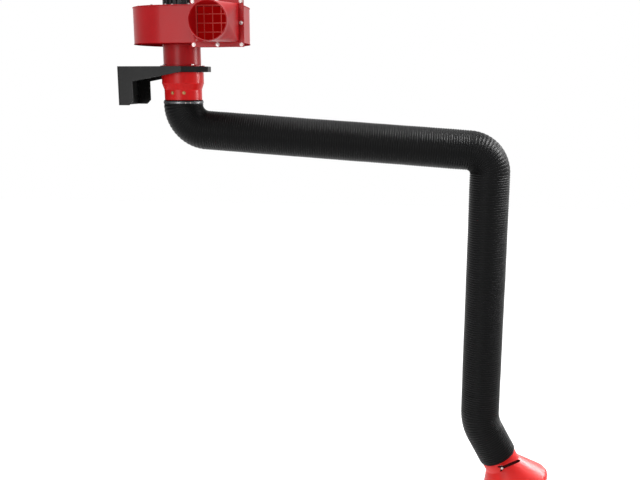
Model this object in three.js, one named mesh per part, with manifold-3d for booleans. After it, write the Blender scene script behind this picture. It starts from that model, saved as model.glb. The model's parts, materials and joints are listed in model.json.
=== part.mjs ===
// Wall-mounted fume extraction arm with a fan on top of its bracket.
// Millimetres, +Z up. The origin is the centre of the wall plate's back face, +X points away from the wall,
// and the arm hangs in the plane Y = 0.

import * as THREE from 'three';
import { mergeVertices } from 'three/addons/utils/BufferGeometryUtils.js';
import Module from 'manifold-3d';

const wasm = await Module();
wasm.setup();

// Fits
const SEAT_GAP = 0.3;          // between pieces that rest on each other
const RUN_GAP = 0.5;           // between pieces that turn in each other

// Wall bracket
const WALL_PLATE_T = 6;
const WALL_HOLE_R = 5.5;
const WALL_HOLE_INSET = 40;    // hole centres from the plate's edges
const BRACKET_T = 5;
const BRACKET_HEIGHT = 170;
const BRACKET_LEG_W = 65;
const BRACKET_LEG_CHAMFER = 18;
const BRACKET_ARM_DEPTH = 66;  // from the top to the inner corner between leg and arm
const BRACKET_LIP = 24;
const BRACKET_SIDE_GAP = 19.5; // from the swivel ring's flange to the cheeks and to the front lip
const BRACKET_CORNER_GAP = 3;  // from the swivel ring's flange to the slanted lips

// Fan axis, duct and volute
const AXIS_X = 260.5;
const SHEET_T = 2.5;
const DUCT_R = 84;
const DUCT_FLANGE_W = 16;
const DUCT_FLANGE_T = 4;
const DUCT_HEIGHT = 95;
const SCROLL_HEIGHT = 156;
const SCROLL_CLEARANCE = 38;   // from the impeller to the flat front panel
const SCROLL_ARC_R = 174;      // first quarter of the volute's wall
const SCROLL_ARC_BACK = 34.5;  // from the fan's axis towards the wall, to the first quarter's centre
const SCROLL_SIDE_STEP = 81.5; // radius gained by the second quarter
const SCROLL_REAR_STEP = 8;    // radius gained by the third quarter
const SCROLL_ARC_STEPS = 9;
const OUTLET_W = 188;
const OUTLET_NECK = 22;        // length of the outlet box in front of the volute
const OUTLET_FLANGE_EDGE = 20; // flange width round the outlet box
const OUTLET_FLANGE_T = 3;
const OUTLET_GASKET_T = 2;
const TRANSITION_LENGTH = 145;
const SPOUT_LENGTH = 18;
const SPOUT_R = 80;
const GUARD_PITCH = 37;
const GUARD_WIRE = 4;
const GUARD_FRAME_W = 6;
const INLET_CONE_THROAT_R = 70;
const INLET_CONE_HEIGHT = 55;
const INLET_CONE_FLANGE_W = 12;

// Impeller and motor
const IMPELLER_R = 140;
const IMPELLER_BLADE_H = 70;
const IMPELLER_BLADES = 9;
const IMPELLER_BLADE_T = 3;
const IMPELLER_EYE_R = 82;
const IMPELLER_PLATE_T = 4;
const IMPELLER_TOP_GAP = 12;   // from the impeller's back plate to the cover
const HUB_R = 24;
const HUB_H = 30;
const SHAFT_R = 9.5;
const MOTOR_FLANGE_R = 80;
const MOTOR_FLANGE_T = 12;
const MOTOR_CORE_R = 64;
const MOTOR_FIN_H = 14;
const MOTOR_FIN_T = 5;
const MOTOR_FINS = 20;
const MOTOR_LENGTH = 140;
const ROTOR_R = 40;
const SHIELD_T = 12;
const COOLING_FAN_R = 58;
const COOLING_FAN_H = 16;
const COWL_T = 2;
const COWL_HEIGHT = 62;
const COWL_SLOT_W = 7;
const COWL_SLOTS = 5;
const TERMINAL_W = 92;
const TERMINAL_H = 80;
const TERMINAL_D = 46;
const TERMINAL_WALL = 3;
const TERMINAL_LID_T = 4;
const GLAND_R = 11;
const GLAND_LENGTH = 20;
const GLAND_BORE_R = 6;

// Swivel under the bracket
const RING_FLANGE_EDGE = 8;    // from the bolt circle to the flange's rim
const RING_FLANGE_T = 6;
const RING_BORE_STEP = 3;      // from the duct's bore in to the ring's bore
const RING_LIP_W = 9;
const RING_LIP_T = 5;
const RING_DROP = 50;          // from the bracket's plate to the ring's lower face
const RING_BOLT_R = 4;
const RING_BOLT_HEAD_R = 6.5;
const RING_BOLT_GAP = 1.5;     // from the duct to the bolt heads
const RING_BOLT_HEAD_H = 5;
const SLIDE_RING_T = 3;
const RETAINER_T = 6;
const COLLAR_SIDE_GAP = 2.5;   // from the ring's lip to the collar
const COLLAR_T = 2;
const COLLAR_UPPER_H = 50;
const COLLAR_TAPER_H = 28;
const COLLAR_NECK_H = 46;
const COLLAR_STEP = 4;         // neck radius below the hose's rib crests
const COLLAR_TOP_GAP = 1;      // running gap below the bracket's lip
const SPIGOT_LENGTH = 20;
const YOKE_SCREW_X = 26;
const YOKE_SCREW_DROP = 13;    // below the neck's top
const YOKE_SCREW_R = 4;
const YOKE_SCREW_HEAD_R = 7;
const YOKE_SCREW_HEAD_H = 5;

// Ribbed hose
const HOSE_CREST_R = 88.5;
const RIB_DEPTH = 1.8;
const HOSE_WALL = 2.2;
const HOSE_SIDES = 10;
const RIB_PITCH = 24;
const BORE_RIBS = 5;           // ribs from one bore ring to the next on a straight run
const CLAMP_W = 9;
const CLAMP_T = 1.6;
const CLAMP_DROP = 5;          // from the hose's end to the clamp
const CLAMP_HOUSING_W = 16;
const CLAMP_HOUSING_H = 7;
const CLAMP_SCREW_R = 2.8;
const CLAMP_SCREW_LENGTH = 26;
const CLAMP_ANGLE_DEG = -62;   // round the hose, from +X

// Arm
const SHOULDER_DROP = 129.3;   // from the collar's end to the pivot
const UPPER_LENGTH = 1393.5;
const LOWER_LENGTH = 1279;
const UPPER_DROP_DEG = 3.85;
const ELBOW_BEND_DEG = 86.05;
const WRIST_BEND_DEG = 28.8;
const SHOULDER_RUN_IN = 1;     // straight hose past the collar's spigot
const ELBOW_INNER_R = 15;
const WRIST_RUN_OUT = 66;      // straight hose before the neck ring
const SHOULDER_REACH = 225;    // from a pivot to where the rigid hose starts
const ELBOW_REACH = 225;
const WRIST_REACH = 150;
const TUBE_H = 40;
const TUBE_T = 2.5;
const TUBE_START = 60;         // from a pivot to the tube's end
const TONGUE_T = 10;
const DISC_R = 18;
const DISC_T = 3;
const CHEEK_T = 6;
const PIN_R = 6;
const PIN_HEAD_R = 10;
const PIN_HEAD_H = 6;
const NUT_H = 8;
const STRAP_T = 12;
const STRAP_W = 36;
const YOKE_PAD_W = 76;
const YOKE_PAD_H = 30;
const YOKE_PAD_T = 5;
const SPRING_R = 10;
const SPRING_LUG_R = 5;
const SPRING_LUG_RISE = 52;    // lug on the yoke, above the pivot
const SPRING_LUG_REACH = 340;  // lug on the tube, from the pivot
const SPRING_LUG_FORWARD = 26; // lug on the yoke, in front of the pivot

// Hood and damper
const HOSE_TAIL = 196;         // from the wrist's pivot to the hose's end
const STRAP_CLEARANCE = 7;     // from the neck ring's strap to the open blade
const NECK_SHEET_T = 2;
const HOOD_SLEEVE_LENGTH = 40;
const HOOD_SHOULDER = 6.5;     // from the sleeve out to the neck
const HOOD_NECK_H = 44;
const HOOD_MOUTH_R = 165.5;
const HOOD_CONE_H = 113.5;
const HOOD_SKIRT_H = 12;       // straight rim below the cone
const HOOD_SHEET_T = 2;
const HOOD_BEAD_R = 4;
const DAMPER_DROP = 16;        // from the hose's end to the damper's shaft
const DAMPER_SHAFT_R = 5;
const DAMPER_BOSS_R = 8;
const DAMPER_BLADE_T = 2;
const DAMPER_BLADE_GAP = 1.5;  // between blade and sleeve
const LEVER_STANDOFF = 11;     // from the neck to the lever
const LEVER_T = 6;
const LEVER_W = 12;
const LEVER_HUB_R = 11;
const LEVER_LENGTH = 86;
const LEVER_SCREW_R = 6;
const LEVER_SCREW_H = 4;

// Round pieces
const FINE = 26;
const MEDIUM = 16;
const COARSE = 8;
const BEAD_STEPS = 4;

// Worked out from the sizes above
const rad = THREE.MathUtils.degToRad;
const DUCT_BORE_R = DUCT_R - SHEET_T;
const RING_BOLT_PITCH_R = DUCT_R + RING_BOLT_GAP + RING_BOLT_HEAD_R;
const RING_FLANGE_R = RING_BOLT_PITCH_R + RING_FLANGE_EDGE;
const BRACKET_HALF_W = RING_FLANGE_R + BRACKET_SIDE_GAP + BRACKET_T;
const BRACKET_TOP = BRACKET_HEIGHT / 2;
const BRACKET_LOW = -BRACKET_HEIGHT / 2;
const BRACKET_PLATE_BOTTOM = BRACKET_TOP - BRACKET_T;
const BRACKET_LIP_BOTTOM = BRACKET_TOP - BRACKET_LIP;
const SCROLL_BOTTOM = BRACKET_TOP + DUCT_HEIGHT;
const SCROLL_FRONT = IMPELLER_R + SCROLL_CLEARANCE;
const SCROLL_TOP = SCROLL_BOTTOM + SCROLL_HEIGHT;
const COVER_BOTTOM = SCROLL_TOP + SEAT_GAP;
const COVER_TOP = COVER_BOTTOM + SHEET_T;
const SCROLL_ARC_X = AXIS_X - SCROLL_ARC_BACK;
const SCROLL_ARC_Y = SCROLL_ARC_R - SCROLL_FRONT;
const OUTLET_FRONT = -(SCROLL_FRONT + OUTLET_NECK);
const OUTLET_RIGHT = SCROLL_ARC_X + SCROLL_ARC_R + 2 * SCROLL_SIDE_STEP + SCROLL_REAR_STEP;
const OUTLET_LEFT = OUTLET_RIGHT - OUTLET_W;
const OUTLET_X = (OUTLET_LEFT + OUTLET_RIGHT) / 2;
const OUTLET_Z = SCROLL_BOTTOM + (SCROLL_HEIGHT + SHEET_T + SEAT_GAP) / 2;
const OUTLET_HALF_W = OUTLET_W / 2 - SHEET_T;
const OUTLET_HALF_H = SCROLL_HEIGHT / 2 - SHEET_T;
const OUTLET_FLANGE_HALF_W = OUTLET_W / 2 + OUTLET_FLANGE_EDGE;
const OUTLET_FLANGE_HALF_H = SCROLL_HEIGHT / 2 + OUTLET_FLANGE_EDGE;
const MOTOR_FLANGE_BOTTOM = COVER_TOP + SEAT_GAP;
const MOTOR_BOTTOM = MOTOR_FLANGE_BOTTOM + MOTOR_FLANGE_T + SEAT_GAP;
const MOTOR_TOP = MOTOR_BOTTOM + MOTOR_LENGTH;
const MOTOR_R = MOTOR_CORE_R + MOTOR_FIN_H;
const SHIELD_BOTTOM = MOTOR_TOP + SEAT_GAP;
const SHIELD_TOP = SHIELD_BOTTOM + SHIELD_T;
const COOLING_FAN_BOTTOM = SHIELD_TOP + 4 * RUN_GAP;
const IMPELLER_TOP = SCROLL_TOP - IMPELLER_TOP_GAP;
const IMPELLER_BOTTOM = IMPELLER_TOP - IMPELLER_PLATE_T - IMPELLER_BLADE_H - IMPELLER_PLATE_T;
const HUB_BOTTOM = IMPELLER_TOP - HUB_H;
const SHAFT_BORE_R = (SHAFT_R + SEAT_GAP) / Math.cos(Math.PI / MEDIUM);
const RING_BORE_R = DUCT_BORE_R - RING_BORE_STEP;
const RING_SPIGOT_R = RING_BORE_R + SHEET_T;
const RING_TOP = BRACKET_PLATE_BOTTOM - SEAT_GAP;
const RING_BOTTOM = BRACKET_PLATE_BOTTOM - RING_DROP;
const RING_LIP_TOP = RING_BOTTOM + RING_LIP_T;
const RING_LIP_R = RING_SPIGOT_R + RING_LIP_W;
const SLIDE_RING_BOTTOM = RING_LIP_TOP + SEAT_GAP;
const RETAINER_BOTTOM = SLIDE_RING_BOTTOM + SLIDE_RING_T + SEAT_GAP;
const COLLAR_R = RING_LIP_R + COLLAR_SIDE_GAP + COLLAR_T;
const COLLAR_TOP = BRACKET_LIP_BOTTOM - COLLAR_TOP_GAP;
const COLLAR_TAPER_TOP = COLLAR_TOP - COLLAR_UPPER_H;
const COLLAR_NECK_TOP = COLLAR_TAPER_TOP - COLLAR_TAPER_H;
const COLLAR_BOTTOM = COLLAR_NECK_TOP - COLLAR_NECK_H;
const COLLAR_NECK_R = HOSE_CREST_R - COLLAR_STEP;
const HOSE_VALLEY_R = HOSE_CREST_R - RIB_DEPTH;
const HOSE_BORE_R = HOSE_VALLEY_R - HOSE_WALL;
const SPIGOT_R = HOSE_BORE_R * Math.cos(Math.PI / HOSE_SIDES) - SEAT_GAP;
const HOSE_TOP = COLLAR_BOTTOM - SEAT_GAP;
const CLAMP_BORE_R = (HOSE_CREST_R + SEAT_GAP) / Math.cos(Math.PI / FINE);
const CLAMP_SCREW_RISE = CLAMP_BORE_R + CLAMP_T + CLAMP_HOUSING_H / 2;
const SHOULDER_Z = COLLAR_BOTTOM - SHOULDER_DROP;
const SHOULDER_TURN_DEG = 90 - UPPER_DROP_DEG;
const SHOULDER_TANGENT = SHOULDER_DROP - SPIGOT_LENGTH - SHOULDER_RUN_IN - SEAT_GAP;
const SHOULDER_BEND_R = SHOULDER_TANGENT / Math.tan(rad(SHOULDER_TURN_DEG / 2));
const ELBOW_BEND_R = HOSE_CREST_R + ELBOW_INNER_R;
const DISC_INNER = TONGUE_T / 2 + SEAT_GAP;
const CHEEK_INNER = DISC_INNER + DISC_T + SEAT_GAP;
const CHEEK_OUTER = CHEEK_INNER + CHEEK_T;
const TUBE_W = 2 * CHEEK_INNER + CHEEK_T / 2;
const CHEEK_R = TUBE_H / 2;
const TONGUE_R = TUBE_H / 2 - TUBE_T / 2;
const PIN_BORE_R = (PIN_R + SEAT_GAP) / Math.cos(Math.PI / COARSE);
const YOKE_SCREW_Z = COLLAR_NECK_TOP - YOKE_SCREW_DROP;
const NECK_RING_END = HOSE_TAIL - 2 * SEAT_GAP;
const SLEEVE_R = (SPIGOT_R - NECK_SHEET_T) * Math.cos(Math.PI / FINE) - RUN_GAP;
const SLEEVE_BORE_R = SLEEVE_R - HOOD_SHEET_T;
const HOOD_NECK_R = SLEEVE_R + HOOD_SHOULDER;
const HOOD_NECK_TOP = HOSE_TAIL + SEAT_GAP;
const HOOD_NECK_BOTTOM = HOSE_TAIL + HOOD_NECK_H;
const HOOD_CONE_BOTTOM = HOOD_NECK_BOTTOM + HOOD_CONE_H;
const HOOD_MOUTH = HOOD_CONE_BOTTOM + HOOD_SKIRT_H;
const DAMPER_X = HOSE_TAIL + DAMPER_DROP;
const DAMPER_BLADE_R = SLEEVE_BORE_R - DAMPER_BLADE_GAP;
const NECK_RING_START = DAMPER_X - DAMPER_BLADE_R - STRAP_CLEARANCE - STRAP_T;
const WRIST_BEND_R = (NECK_RING_START - WRIST_RUN_OUT) / Math.tan(rad(WRIST_BEND_DEG / 2));
const DAMPER_BORE_R = (DAMPER_SHAFT_R + SEAT_GAP) / Math.cos(Math.PI / COARSE);
const LEVER_INNER = HOOD_NECK_R + LEVER_STANDOFF;
const LEVER_OUTER = LEVER_INNER + LEVER_T;

// Materials
const paint = (color, roughness, metalness) => new THREE.MeshStandardMaterial({ color, roughness, metalness });
const materials = {
	red: paint(0xb01820, 0.4, 0.1),
	black: paint(0x17181a, 0.5, 0.1),
	hose: paint(0x1c1d1f, 0.55, 0),
	steel: paint(0xb4b8bc, 0.35, 0.9),
	galvanised: paint(0x9aa0a4, 0.5, 0.8),
	plastic: paint(0x222426, 0.6, 0),
	rubber: paint(0x101112, 0.8, 0)
};

// Booleans on closed geometry
function toSolid(geometry) {
	const bare = geometry.clone();
	bare.deleteAttribute('normal');
	bare.deleteAttribute('uv');
	const merged = mergeVertices(bare, 1e-4);
	const index = merged.index.array;
	const triangles = [];
	for (let i = 0; i < index.length; i += 3) {
		const [a, b, c] = [index[i], index[i + 1], index[i + 2]];
		if (a !== b && b !== c && a !== c) triangles.push(a, b, c);
	}
	const vertProperties = new Float32Array(merged.attributes.position.array);
	return new wasm.Manifold(new wasm.Mesh({ numProp: 3, vertProperties, triVerts: new Uint32Array(triangles) }));
}

function toGeometry(solid) {
	const mesh = solid.getMesh();
	const geometry = new THREE.BufferGeometry();
	geometry.setAttribute('position', new THREE.BufferAttribute(new Float32Array(mesh.vertProperties), 3));
	geometry.setIndex(new THREE.BufferAttribute(new Uint32Array(mesh.triVerts), 1));
	return geometry;
}

function join(...geometries) {
	return toGeometry(geometries.map(toSolid).reduce((whole, piece) => whole.add(piece)));
}

function cut(geometry, ...tools) {
	return toGeometry(tools.map(toSolid).reduce((whole, tool) => whole.subtract(tool), toSolid(geometry)));
}

function overlap(first, second) {
	return toGeometry(toSolid(first).intersect(toSolid(second)));
}

// Basic solids, round ones about the Z axis
function box(x0, x1, y0, y1, z0, z1) {
	const geometry = new THREE.BoxGeometry(x1 - x0, y1 - y0, z1 - z0);
	return geometry.translate((x0 + x1) / 2, (y0 + y1) / 2, (z0 + z1) / 2);
}

function round(radius, z0, z1, sides = MEDIUM) {
	const geometry = new THREE.CylinderGeometry(radius, radius, z1 - z0, sides);
	return geometry.rotateX(Math.PI / 2).translate(0, 0, (z0 + z1) / 2);
}

function turned(profile, sides = FINE) {
	const points = profile.map(([radius, z]) => new THREE.Vector2(radius, z));
	points.push(points[0].clone());
	return new THREE.LatheGeometry(points, sides).rotateX(Math.PI / 2);
}

function ring(inner, outer, z0, z1, sides = FINE) {
	return turned([[inner, z0], [outer, z0], [outer, z1], [inner, z1]], sides);
}

function slab(points, z0, z1) {
	const shape = new THREE.Shape(points.map(([x, y]) => new THREE.Vector2(x, y)));
	return new THREE.ExtrudeGeometry(shape, { depth: z1 - z0, bevelEnabled: false }).translate(0, 0, z0);
}

// Turns a geometry so that what pointed along +Z points along +Y or +X
const alongY = geometry => geometry.rotateX(-Math.PI / 2);
const alongX = geometry => geometry.rotateY(Math.PI / 2);

// Turns a flat outline drawn in X and Z so that its thickness runs along Y
function upright(points, y0, y1) {
	return slab(points, -y1, -y0).rotateX(Math.PI / 2);
}

function onCircle(count, radius, make, startDeg = 0) {
	return Array.from({ length: count }, (_, i) => {
		const angle = rad(startDeg + 360 * i / count);
		return make(radius * Math.cos(angle), radius * Math.sin(angle), angle, i);
	});
}

function add(group, name, material, geometry) {
	const mesh = new THREE.Mesh(geometry, material);
	mesh.name = name;
	group.add(mesh);
	return mesh;
}

// Wall plate and bracket
// Cheeks, slanted lips and front lip all stand off the swivel ring's centre
function bracketOutline(inset) {
	const side = BRACKET_HALF_W - inset;
	const slant = RING_FLANGE_R + BRACKET_CORNER_GAP + BRACKET_T - inset;
	const corner = slant * Math.SQRT2 - side;
	const back = WALL_PLATE_T + SEAT_GAP - inset;
	const [bendX, tipX] = [AXIS_X + corner, AXIS_X + side];
	return [[back, -side], [bendX, -side], [tipX, -corner], [tipX, corner], [bendX, side], [back, side]];
}

function ringBoltHoles() {
	const radius = (RING_BOLT_R + SEAT_GAP) / Math.cos(Math.PI / COARSE);
	return onCircle(4, RING_BOLT_PITCH_R, (x, y) =>
		round(radius, RING_BOTTOM, SCROLL_BOTTOM, COARSE).translate(AXIS_X + x, y, 0), 45);
}

function wallBracket() {
	const back = WALL_PLATE_T + SEAT_GAP;
	const half = BRACKET_HALF_W;
	const [, [bendX]] = bracketOutline(0);
	const cheek = [
		[back, BRACKET_LOW], [BRACKET_LEG_W - BRACKET_LEG_CHAMFER, BRACKET_LOW],
		[BRACKET_LEG_W, BRACKET_LOW + BRACKET_LEG_CHAMFER], [BRACKET_LEG_W, BRACKET_TOP - BRACKET_ARM_DEPTH],
		[bendX, BRACKET_LIP_BOTTOM], [bendX, BRACKET_TOP], [back, BRACKET_TOP]
	];
	const tray = cut(
		slab(bracketOutline(0), BRACKET_LIP_BOTTOM, BRACKET_TOP),
		slab(bracketOutline(BRACKET_T), BRACKET_LIP_BOTTOM - 1, BRACKET_PLATE_BOTTOM)
	);
	const whole = join(tray, upright(cheek, -half, -half + BRACKET_T), upright(cheek, half - BRACKET_T, half));
	const airway = round(DUCT_BORE_R, BRACKET_LOW, SCROLL_BOTTOM, FINE).translate(AXIS_X, 0, 0);
	return cut(whole, airway, ...ringBoltHoles());
}

function wallPlate() {
	const half = BRACKET_HALF_W;
	const holes = [];
	for (const y of [-half + WALL_HOLE_INSET, half - WALL_HOLE_INSET]) {
		for (const z of [BRACKET_LOW + WALL_HOLE_INSET, BRACKET_TOP - WALL_HOLE_INSET]) {
			holes.push(alongX(round(WALL_HOLE_R, -1, WALL_PLATE_T + 1, COARSE)).translate(0, y, z));
		}
	}
	return cut(box(0, WALL_PLATE_T, -half, half, BRACKET_LOW, BRACKET_TOP), ...holes);
}

function addWallMount(group) {
	add(group, 'wall_plate', materials.black, wallPlate());
	add(group, 'wall_bracket', materials.black, wallBracket());
	const shank = [BRACKET_PLATE_BOTTOM - RING_FLANGE_T - SEAT_GAP, BRACKET_TOP + SEAT_GAP + DUCT_FLANGE_T];
	const head = [shank[1] + SEAT_GAP, shank[1] + SEAT_GAP + RING_BOLT_HEAD_H];
	onCircle(4, RING_BOLT_PITCH_R, (x, y, angle, i) => {
		const bolt = join(
			round(RING_BOLT_R, shank[0], head[1], COARSE),
			round(RING_BOLT_HEAD_R, head[0], head[1], 6)
		);
		add(group, `ring_bolt_${i + 1}`, materials.steel, bolt).position.set(AXIS_X + x, y, 0);
	}, 45);
}

// Duct and volute
function inletDuct() {
	const low = BRACKET_TOP + SEAT_GAP;
	const flangeTop = low + DUCT_FLANGE_T;
	const high = SCROLL_BOTTOM - SEAT_GAP;
	const tube = turned([
		[DUCT_BORE_R, low], [DUCT_R + DUCT_FLANGE_W, low], [DUCT_R + DUCT_FLANGE_W, flangeTop],
		[DUCT_R, flangeTop], [DUCT_R, high], [DUCT_BORE_R, high]
	]).translate(AXIS_X, 0, 0);
	return cut(tube, ...ringBoltHoles());
}

// The volute opens clockwise, seen from above, in three quarter turns of growing radius,
// from the flat front panel to the outlet on the right
function scrollOutline(inset, front) {
	const [x, y] = [SCROLL_ARC_X, SCROLL_ARC_Y];
	const quarters = [
		[x, y, SCROLL_ARC_R],
		[x + SCROLL_SIDE_STEP, y, SCROLL_ARC_R + SCROLL_SIDE_STEP],
		[x + SCROLL_SIDE_STEP, y - SCROLL_REAR_STEP, SCROLL_ARC_R + SCROLL_SIDE_STEP + SCROLL_REAR_STEP]
	];
	const points = [
		[OUTLET_LEFT + inset, front], [OUTLET_LEFT + inset, -SCROLL_FRONT + inset], [x, -SCROLL_FRONT + inset]
	];
	for (const [quarter, [centreX, centreY, radius]] of quarters.entries()) {
		for (let i = 1; i <= SCROLL_ARC_STEPS; i++) {
			const angle = -Math.PI / 2 * (1 + quarter + i / SCROLL_ARC_STEPS);
			const reach = radius - inset;
			points.push([centreX + reach * Math.cos(angle), centreY + reach * Math.sin(angle)]);
		}
	}
	points.push([OUTLET_RIGHT - inset, front]);
	return points.reverse();
}

function outletFrame(y0, y1, halfW, halfH) {
	const [edgeW, edgeH] = [OUTLET_FLANGE_HALF_W, OUTLET_FLANGE_HALF_H];
	const outer = box(-edgeW, edgeW, y0, y1, -edgeH, edgeH);
	return cut(outer, box(-halfW, halfW, y0 - 1, y1 + 1, -halfH, halfH)).translate(OUTLET_X, 0, OUTLET_Z);
}

function scrollHousing() {
	const outside = slab(scrollOutline(0, OUTLET_FRONT), SCROLL_BOTTOM, SCROLL_TOP);
	const inside = slab(scrollOutline(SHEET_T, OUTLET_FRONT - 1), SCROLL_BOTTOM + SHEET_T, SCROLL_TOP + 1);
	const inlet = round(DUCT_BORE_R, SCROLL_BOTTOM - 1, SCROLL_TOP, FINE).translate(AXIS_X, 0, 0);
	const frame = outletFrame(OUTLET_FRONT - OUTLET_FLANGE_T, OUTLET_FRONT, OUTLET_HALF_W, OUTLET_HALF_H);
	return join(cut(outside, inside, inlet), frame);
}

function scrollCover() {
	const shaftHole = round(HUB_R + RUN_GAP, COVER_BOTTOM - 1, COVER_TOP + 1).translate(AXIS_X, 0, 0);
	return cut(slab(scrollOutline(0, OUTLET_FRONT + SEAT_GAP), COVER_BOTTOM, COVER_TOP), shaftHole);
}

function inletCone() {
	const low = SCROLL_BOTTOM + SHEET_T + SEAT_GAP;
	const flangeTop = low + SHEET_T;
	const high = low + INLET_CONE_HEIGHT;
	return turned([
		[DUCT_BORE_R, low], [DUCT_R + INLET_CONE_FLANGE_W, low], [DUCT_R + INLET_CONE_FLANGE_W, flangeTop],
		[DUCT_R, flangeTop], [INLET_CONE_THROAT_R + SHEET_T, high], [INLET_CONE_THROAT_R, high]
	]);
}

// Points round a rectangle and round a circle, one pair for each direction
function transitionSections(outset) {
	const [halfW, halfH, radius] = [OUTLET_HALF_W + outset, OUTLET_HALF_H + outset, SPOUT_R - SHEET_T + outset];
	const square = [];
	const circle = [];
	for (let i = 0; i < MEDIUM; i++) {
		const angle = 2 * Math.PI * i / MEDIUM;
		const [x, z] = [Math.cos(angle), Math.sin(angle)];
		const reach = 1 / Math.max(Math.abs(x), Math.abs(z));
		square.push([halfW * x * reach, halfH * z * reach]);
		circle.push([radius * x, radius * z]);
	}
	return { square, circle };
}

// A tube that runs straight past the guard, changes to round and ends in a short spout
function transitionTube(flangeFront) {
	const roundStart = flangeFront - TRANSITION_LENGTH;
	const loops = [];
	for (const outset of [SHEET_T, 0]) {
		const { square, circle } = transitionSections(outset);
		const sections = [
			[square, flangeFront + 1], [square, flangeFront - GUARD_WIRE],
			[circle, roundStart], [circle, roundStart - SPOUT_LENGTH]
		];
		for (const [section, y] of outset ? sections : sections.reverse()) {
			loops.push(section.map(([x, z]) => [x, y, z]));
		}
	}
	return loopsToTube(loops).translate(OUTLET_X, 0, OUTLET_Z);
}

// Closes a row of equal loops of points into a ring-shaped solid: the last loop joins the first
function loopsToTube(loops) {
	const sides = loops[0].length;
	const index = [];
	for (let row = 0; row < loops.length; row++) {
		const next = (row + 1) % loops.length;
		for (let i = 0; i < sides; i++) {
			const j = (i + 1) % sides;
			const [a, b, c, d] = [row * sides + i, row * sides + j, next * sides + j, next * sides + i];
			index.push(a, b, c, a, c, d);
		}
	}
	const geometry = new THREE.BufferGeometry();
	geometry.setAttribute('position', new THREE.Float32BufferAttribute(loops.flat(2), 3));
	geometry.setIndex(index);
	return geometry;
}

function outletGuard(back) {
	const halfW = OUTLET_HALF_W - SEAT_GAP;
	const halfH = OUTLET_HALF_H - SEAT_GAP;
	const frame = cut(
		box(-halfW, halfW, back - GUARD_WIRE, back, -halfH, halfH),
		box(-halfW + GUARD_FRAME_W, halfW - GUARD_FRAME_W, back - GUARD_WIRE - 1, back + 1,
			-halfH + GUARD_FRAME_W, halfH - GUARD_FRAME_W)
	);
	const wires = [];
	const columns = 2 * Math.floor((halfW - GUARD_FRAME_W) / GUARD_PITCH + 0.5);
	const rows = 2 * Math.floor((halfH - GUARD_FRAME_W) / GUARD_PITCH) + 1;
	for (let i = 0; i < columns; i++) {
		const x = GUARD_PITCH * (i - (columns - 1) / 2);
		wires.push(box(x - GUARD_WIRE / 2, x + GUARD_WIRE / 2, back - GUARD_WIRE, back, -halfH + 1, halfH - 1));
	}
	for (let i = 0; i < rows; i++) {
		const z = GUARD_PITCH * (i - (rows - 1) / 2);
		wires.push(box(-halfW + 1, halfW - 1, back - GUARD_WIRE, back, z - GUARD_WIRE / 2, z + GUARD_WIRE / 2));
	}
	return join(frame, ...wires).translate(OUTLET_X, 0, OUTLET_Z);
}

function addFanCasing(group) {
	add(group, 'inlet_duct', materials.red, inletDuct());
	add(group, 'scroll_housing', materials.red, scrollHousing());
	add(group, 'scroll_cover', materials.red, scrollCover());
	add(group, 'inlet_cone', materials.galvanised, inletCone()).position.x = AXIS_X;
	const gasketBack = OUTLET_FRONT - OUTLET_FLANGE_T - SEAT_GAP;
	const gasketFront = gasketBack - OUTLET_GASKET_T;
	const flangeBack = gasketFront - SEAT_GAP;
	const flangeFront = flangeBack - OUTLET_FLANGE_T;
	const gasketHalfW = OUTLET_HALF_W - 2 * GUARD_WIRE;
	const gasketHalfH = OUTLET_HALF_H - 2 * GUARD_WIRE;
	add(group, 'outlet_gasket', materials.rubber, outletFrame(gasketFront, gasketBack, gasketHalfW, gasketHalfH));
	const flange = outletFrame(flangeFront, flangeBack, OUTLET_HALF_W, OUTLET_HALF_H);
	add(group, 'outlet_transition', materials.red, join(flange, transitionTube(flangeFront)));
	add(group, 'outlet_guard', materials.red, outletGuard(gasketFront - SEAT_GAP));
}

// Motor
function motorFrame() {
	const fins = onCircle(MOTOR_FINS, 0, (x, y, angle) => {
		const fin = box(MOTOR_CORE_R - 2, MOTOR_R, -MOTOR_FIN_T / 2, MOTOR_FIN_T / 2, MOTOR_BOTTOM, MOTOR_TOP);
		return fin.rotateZ(angle);
	});
	const bore = (ROTOR_R + RUN_GAP) / Math.cos(Math.PI / FINE);
	const core = ring(bore, MOTOR_CORE_R, MOTOR_BOTTOM, MOTOR_TOP);
	return join(core, ...fins);
}

function motorCowl() {
	const low = MOTOR_TOP - COWL_HEIGHT / 4;
	const high = low + COWL_HEIGHT;
	const inner = (Math.hypot(MOTOR_R, MOTOR_FIN_T / 2) + SEAT_GAP) / Math.cos(Math.PI / FINE);
	const cup = turned([
		[inner, low], [inner + COWL_T, low], [inner + COWL_T, high], [SHAFT_BORE_R, high],
		[SHAFT_BORE_R, high - COWL_T], [inner, high - COWL_T]
	]);
	const slots = [];
	for (let i = 0; i < COWL_SLOTS; i++) {
		const y = (i - (COWL_SLOTS - 1) / 2) * 3 * COWL_SLOT_W;
		const reach = Math.sqrt(inner ** 2 - (Math.abs(y) + COWL_SLOT_W) ** 2) - COWL_SLOT_W;
		for (const side of [-1, 1]) {
			const [x0, x1] = [side * 2 * SHAFT_BORE_R, side * reach].sort((a, b) => a - b);
			slots.push(box(x0, x1, y - COWL_SLOT_W / 2, y + COWL_SLOT_W / 2, high - COWL_T - 1, high + 1));
		}
	}
	return cut(cup, ...slots);
}

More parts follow.
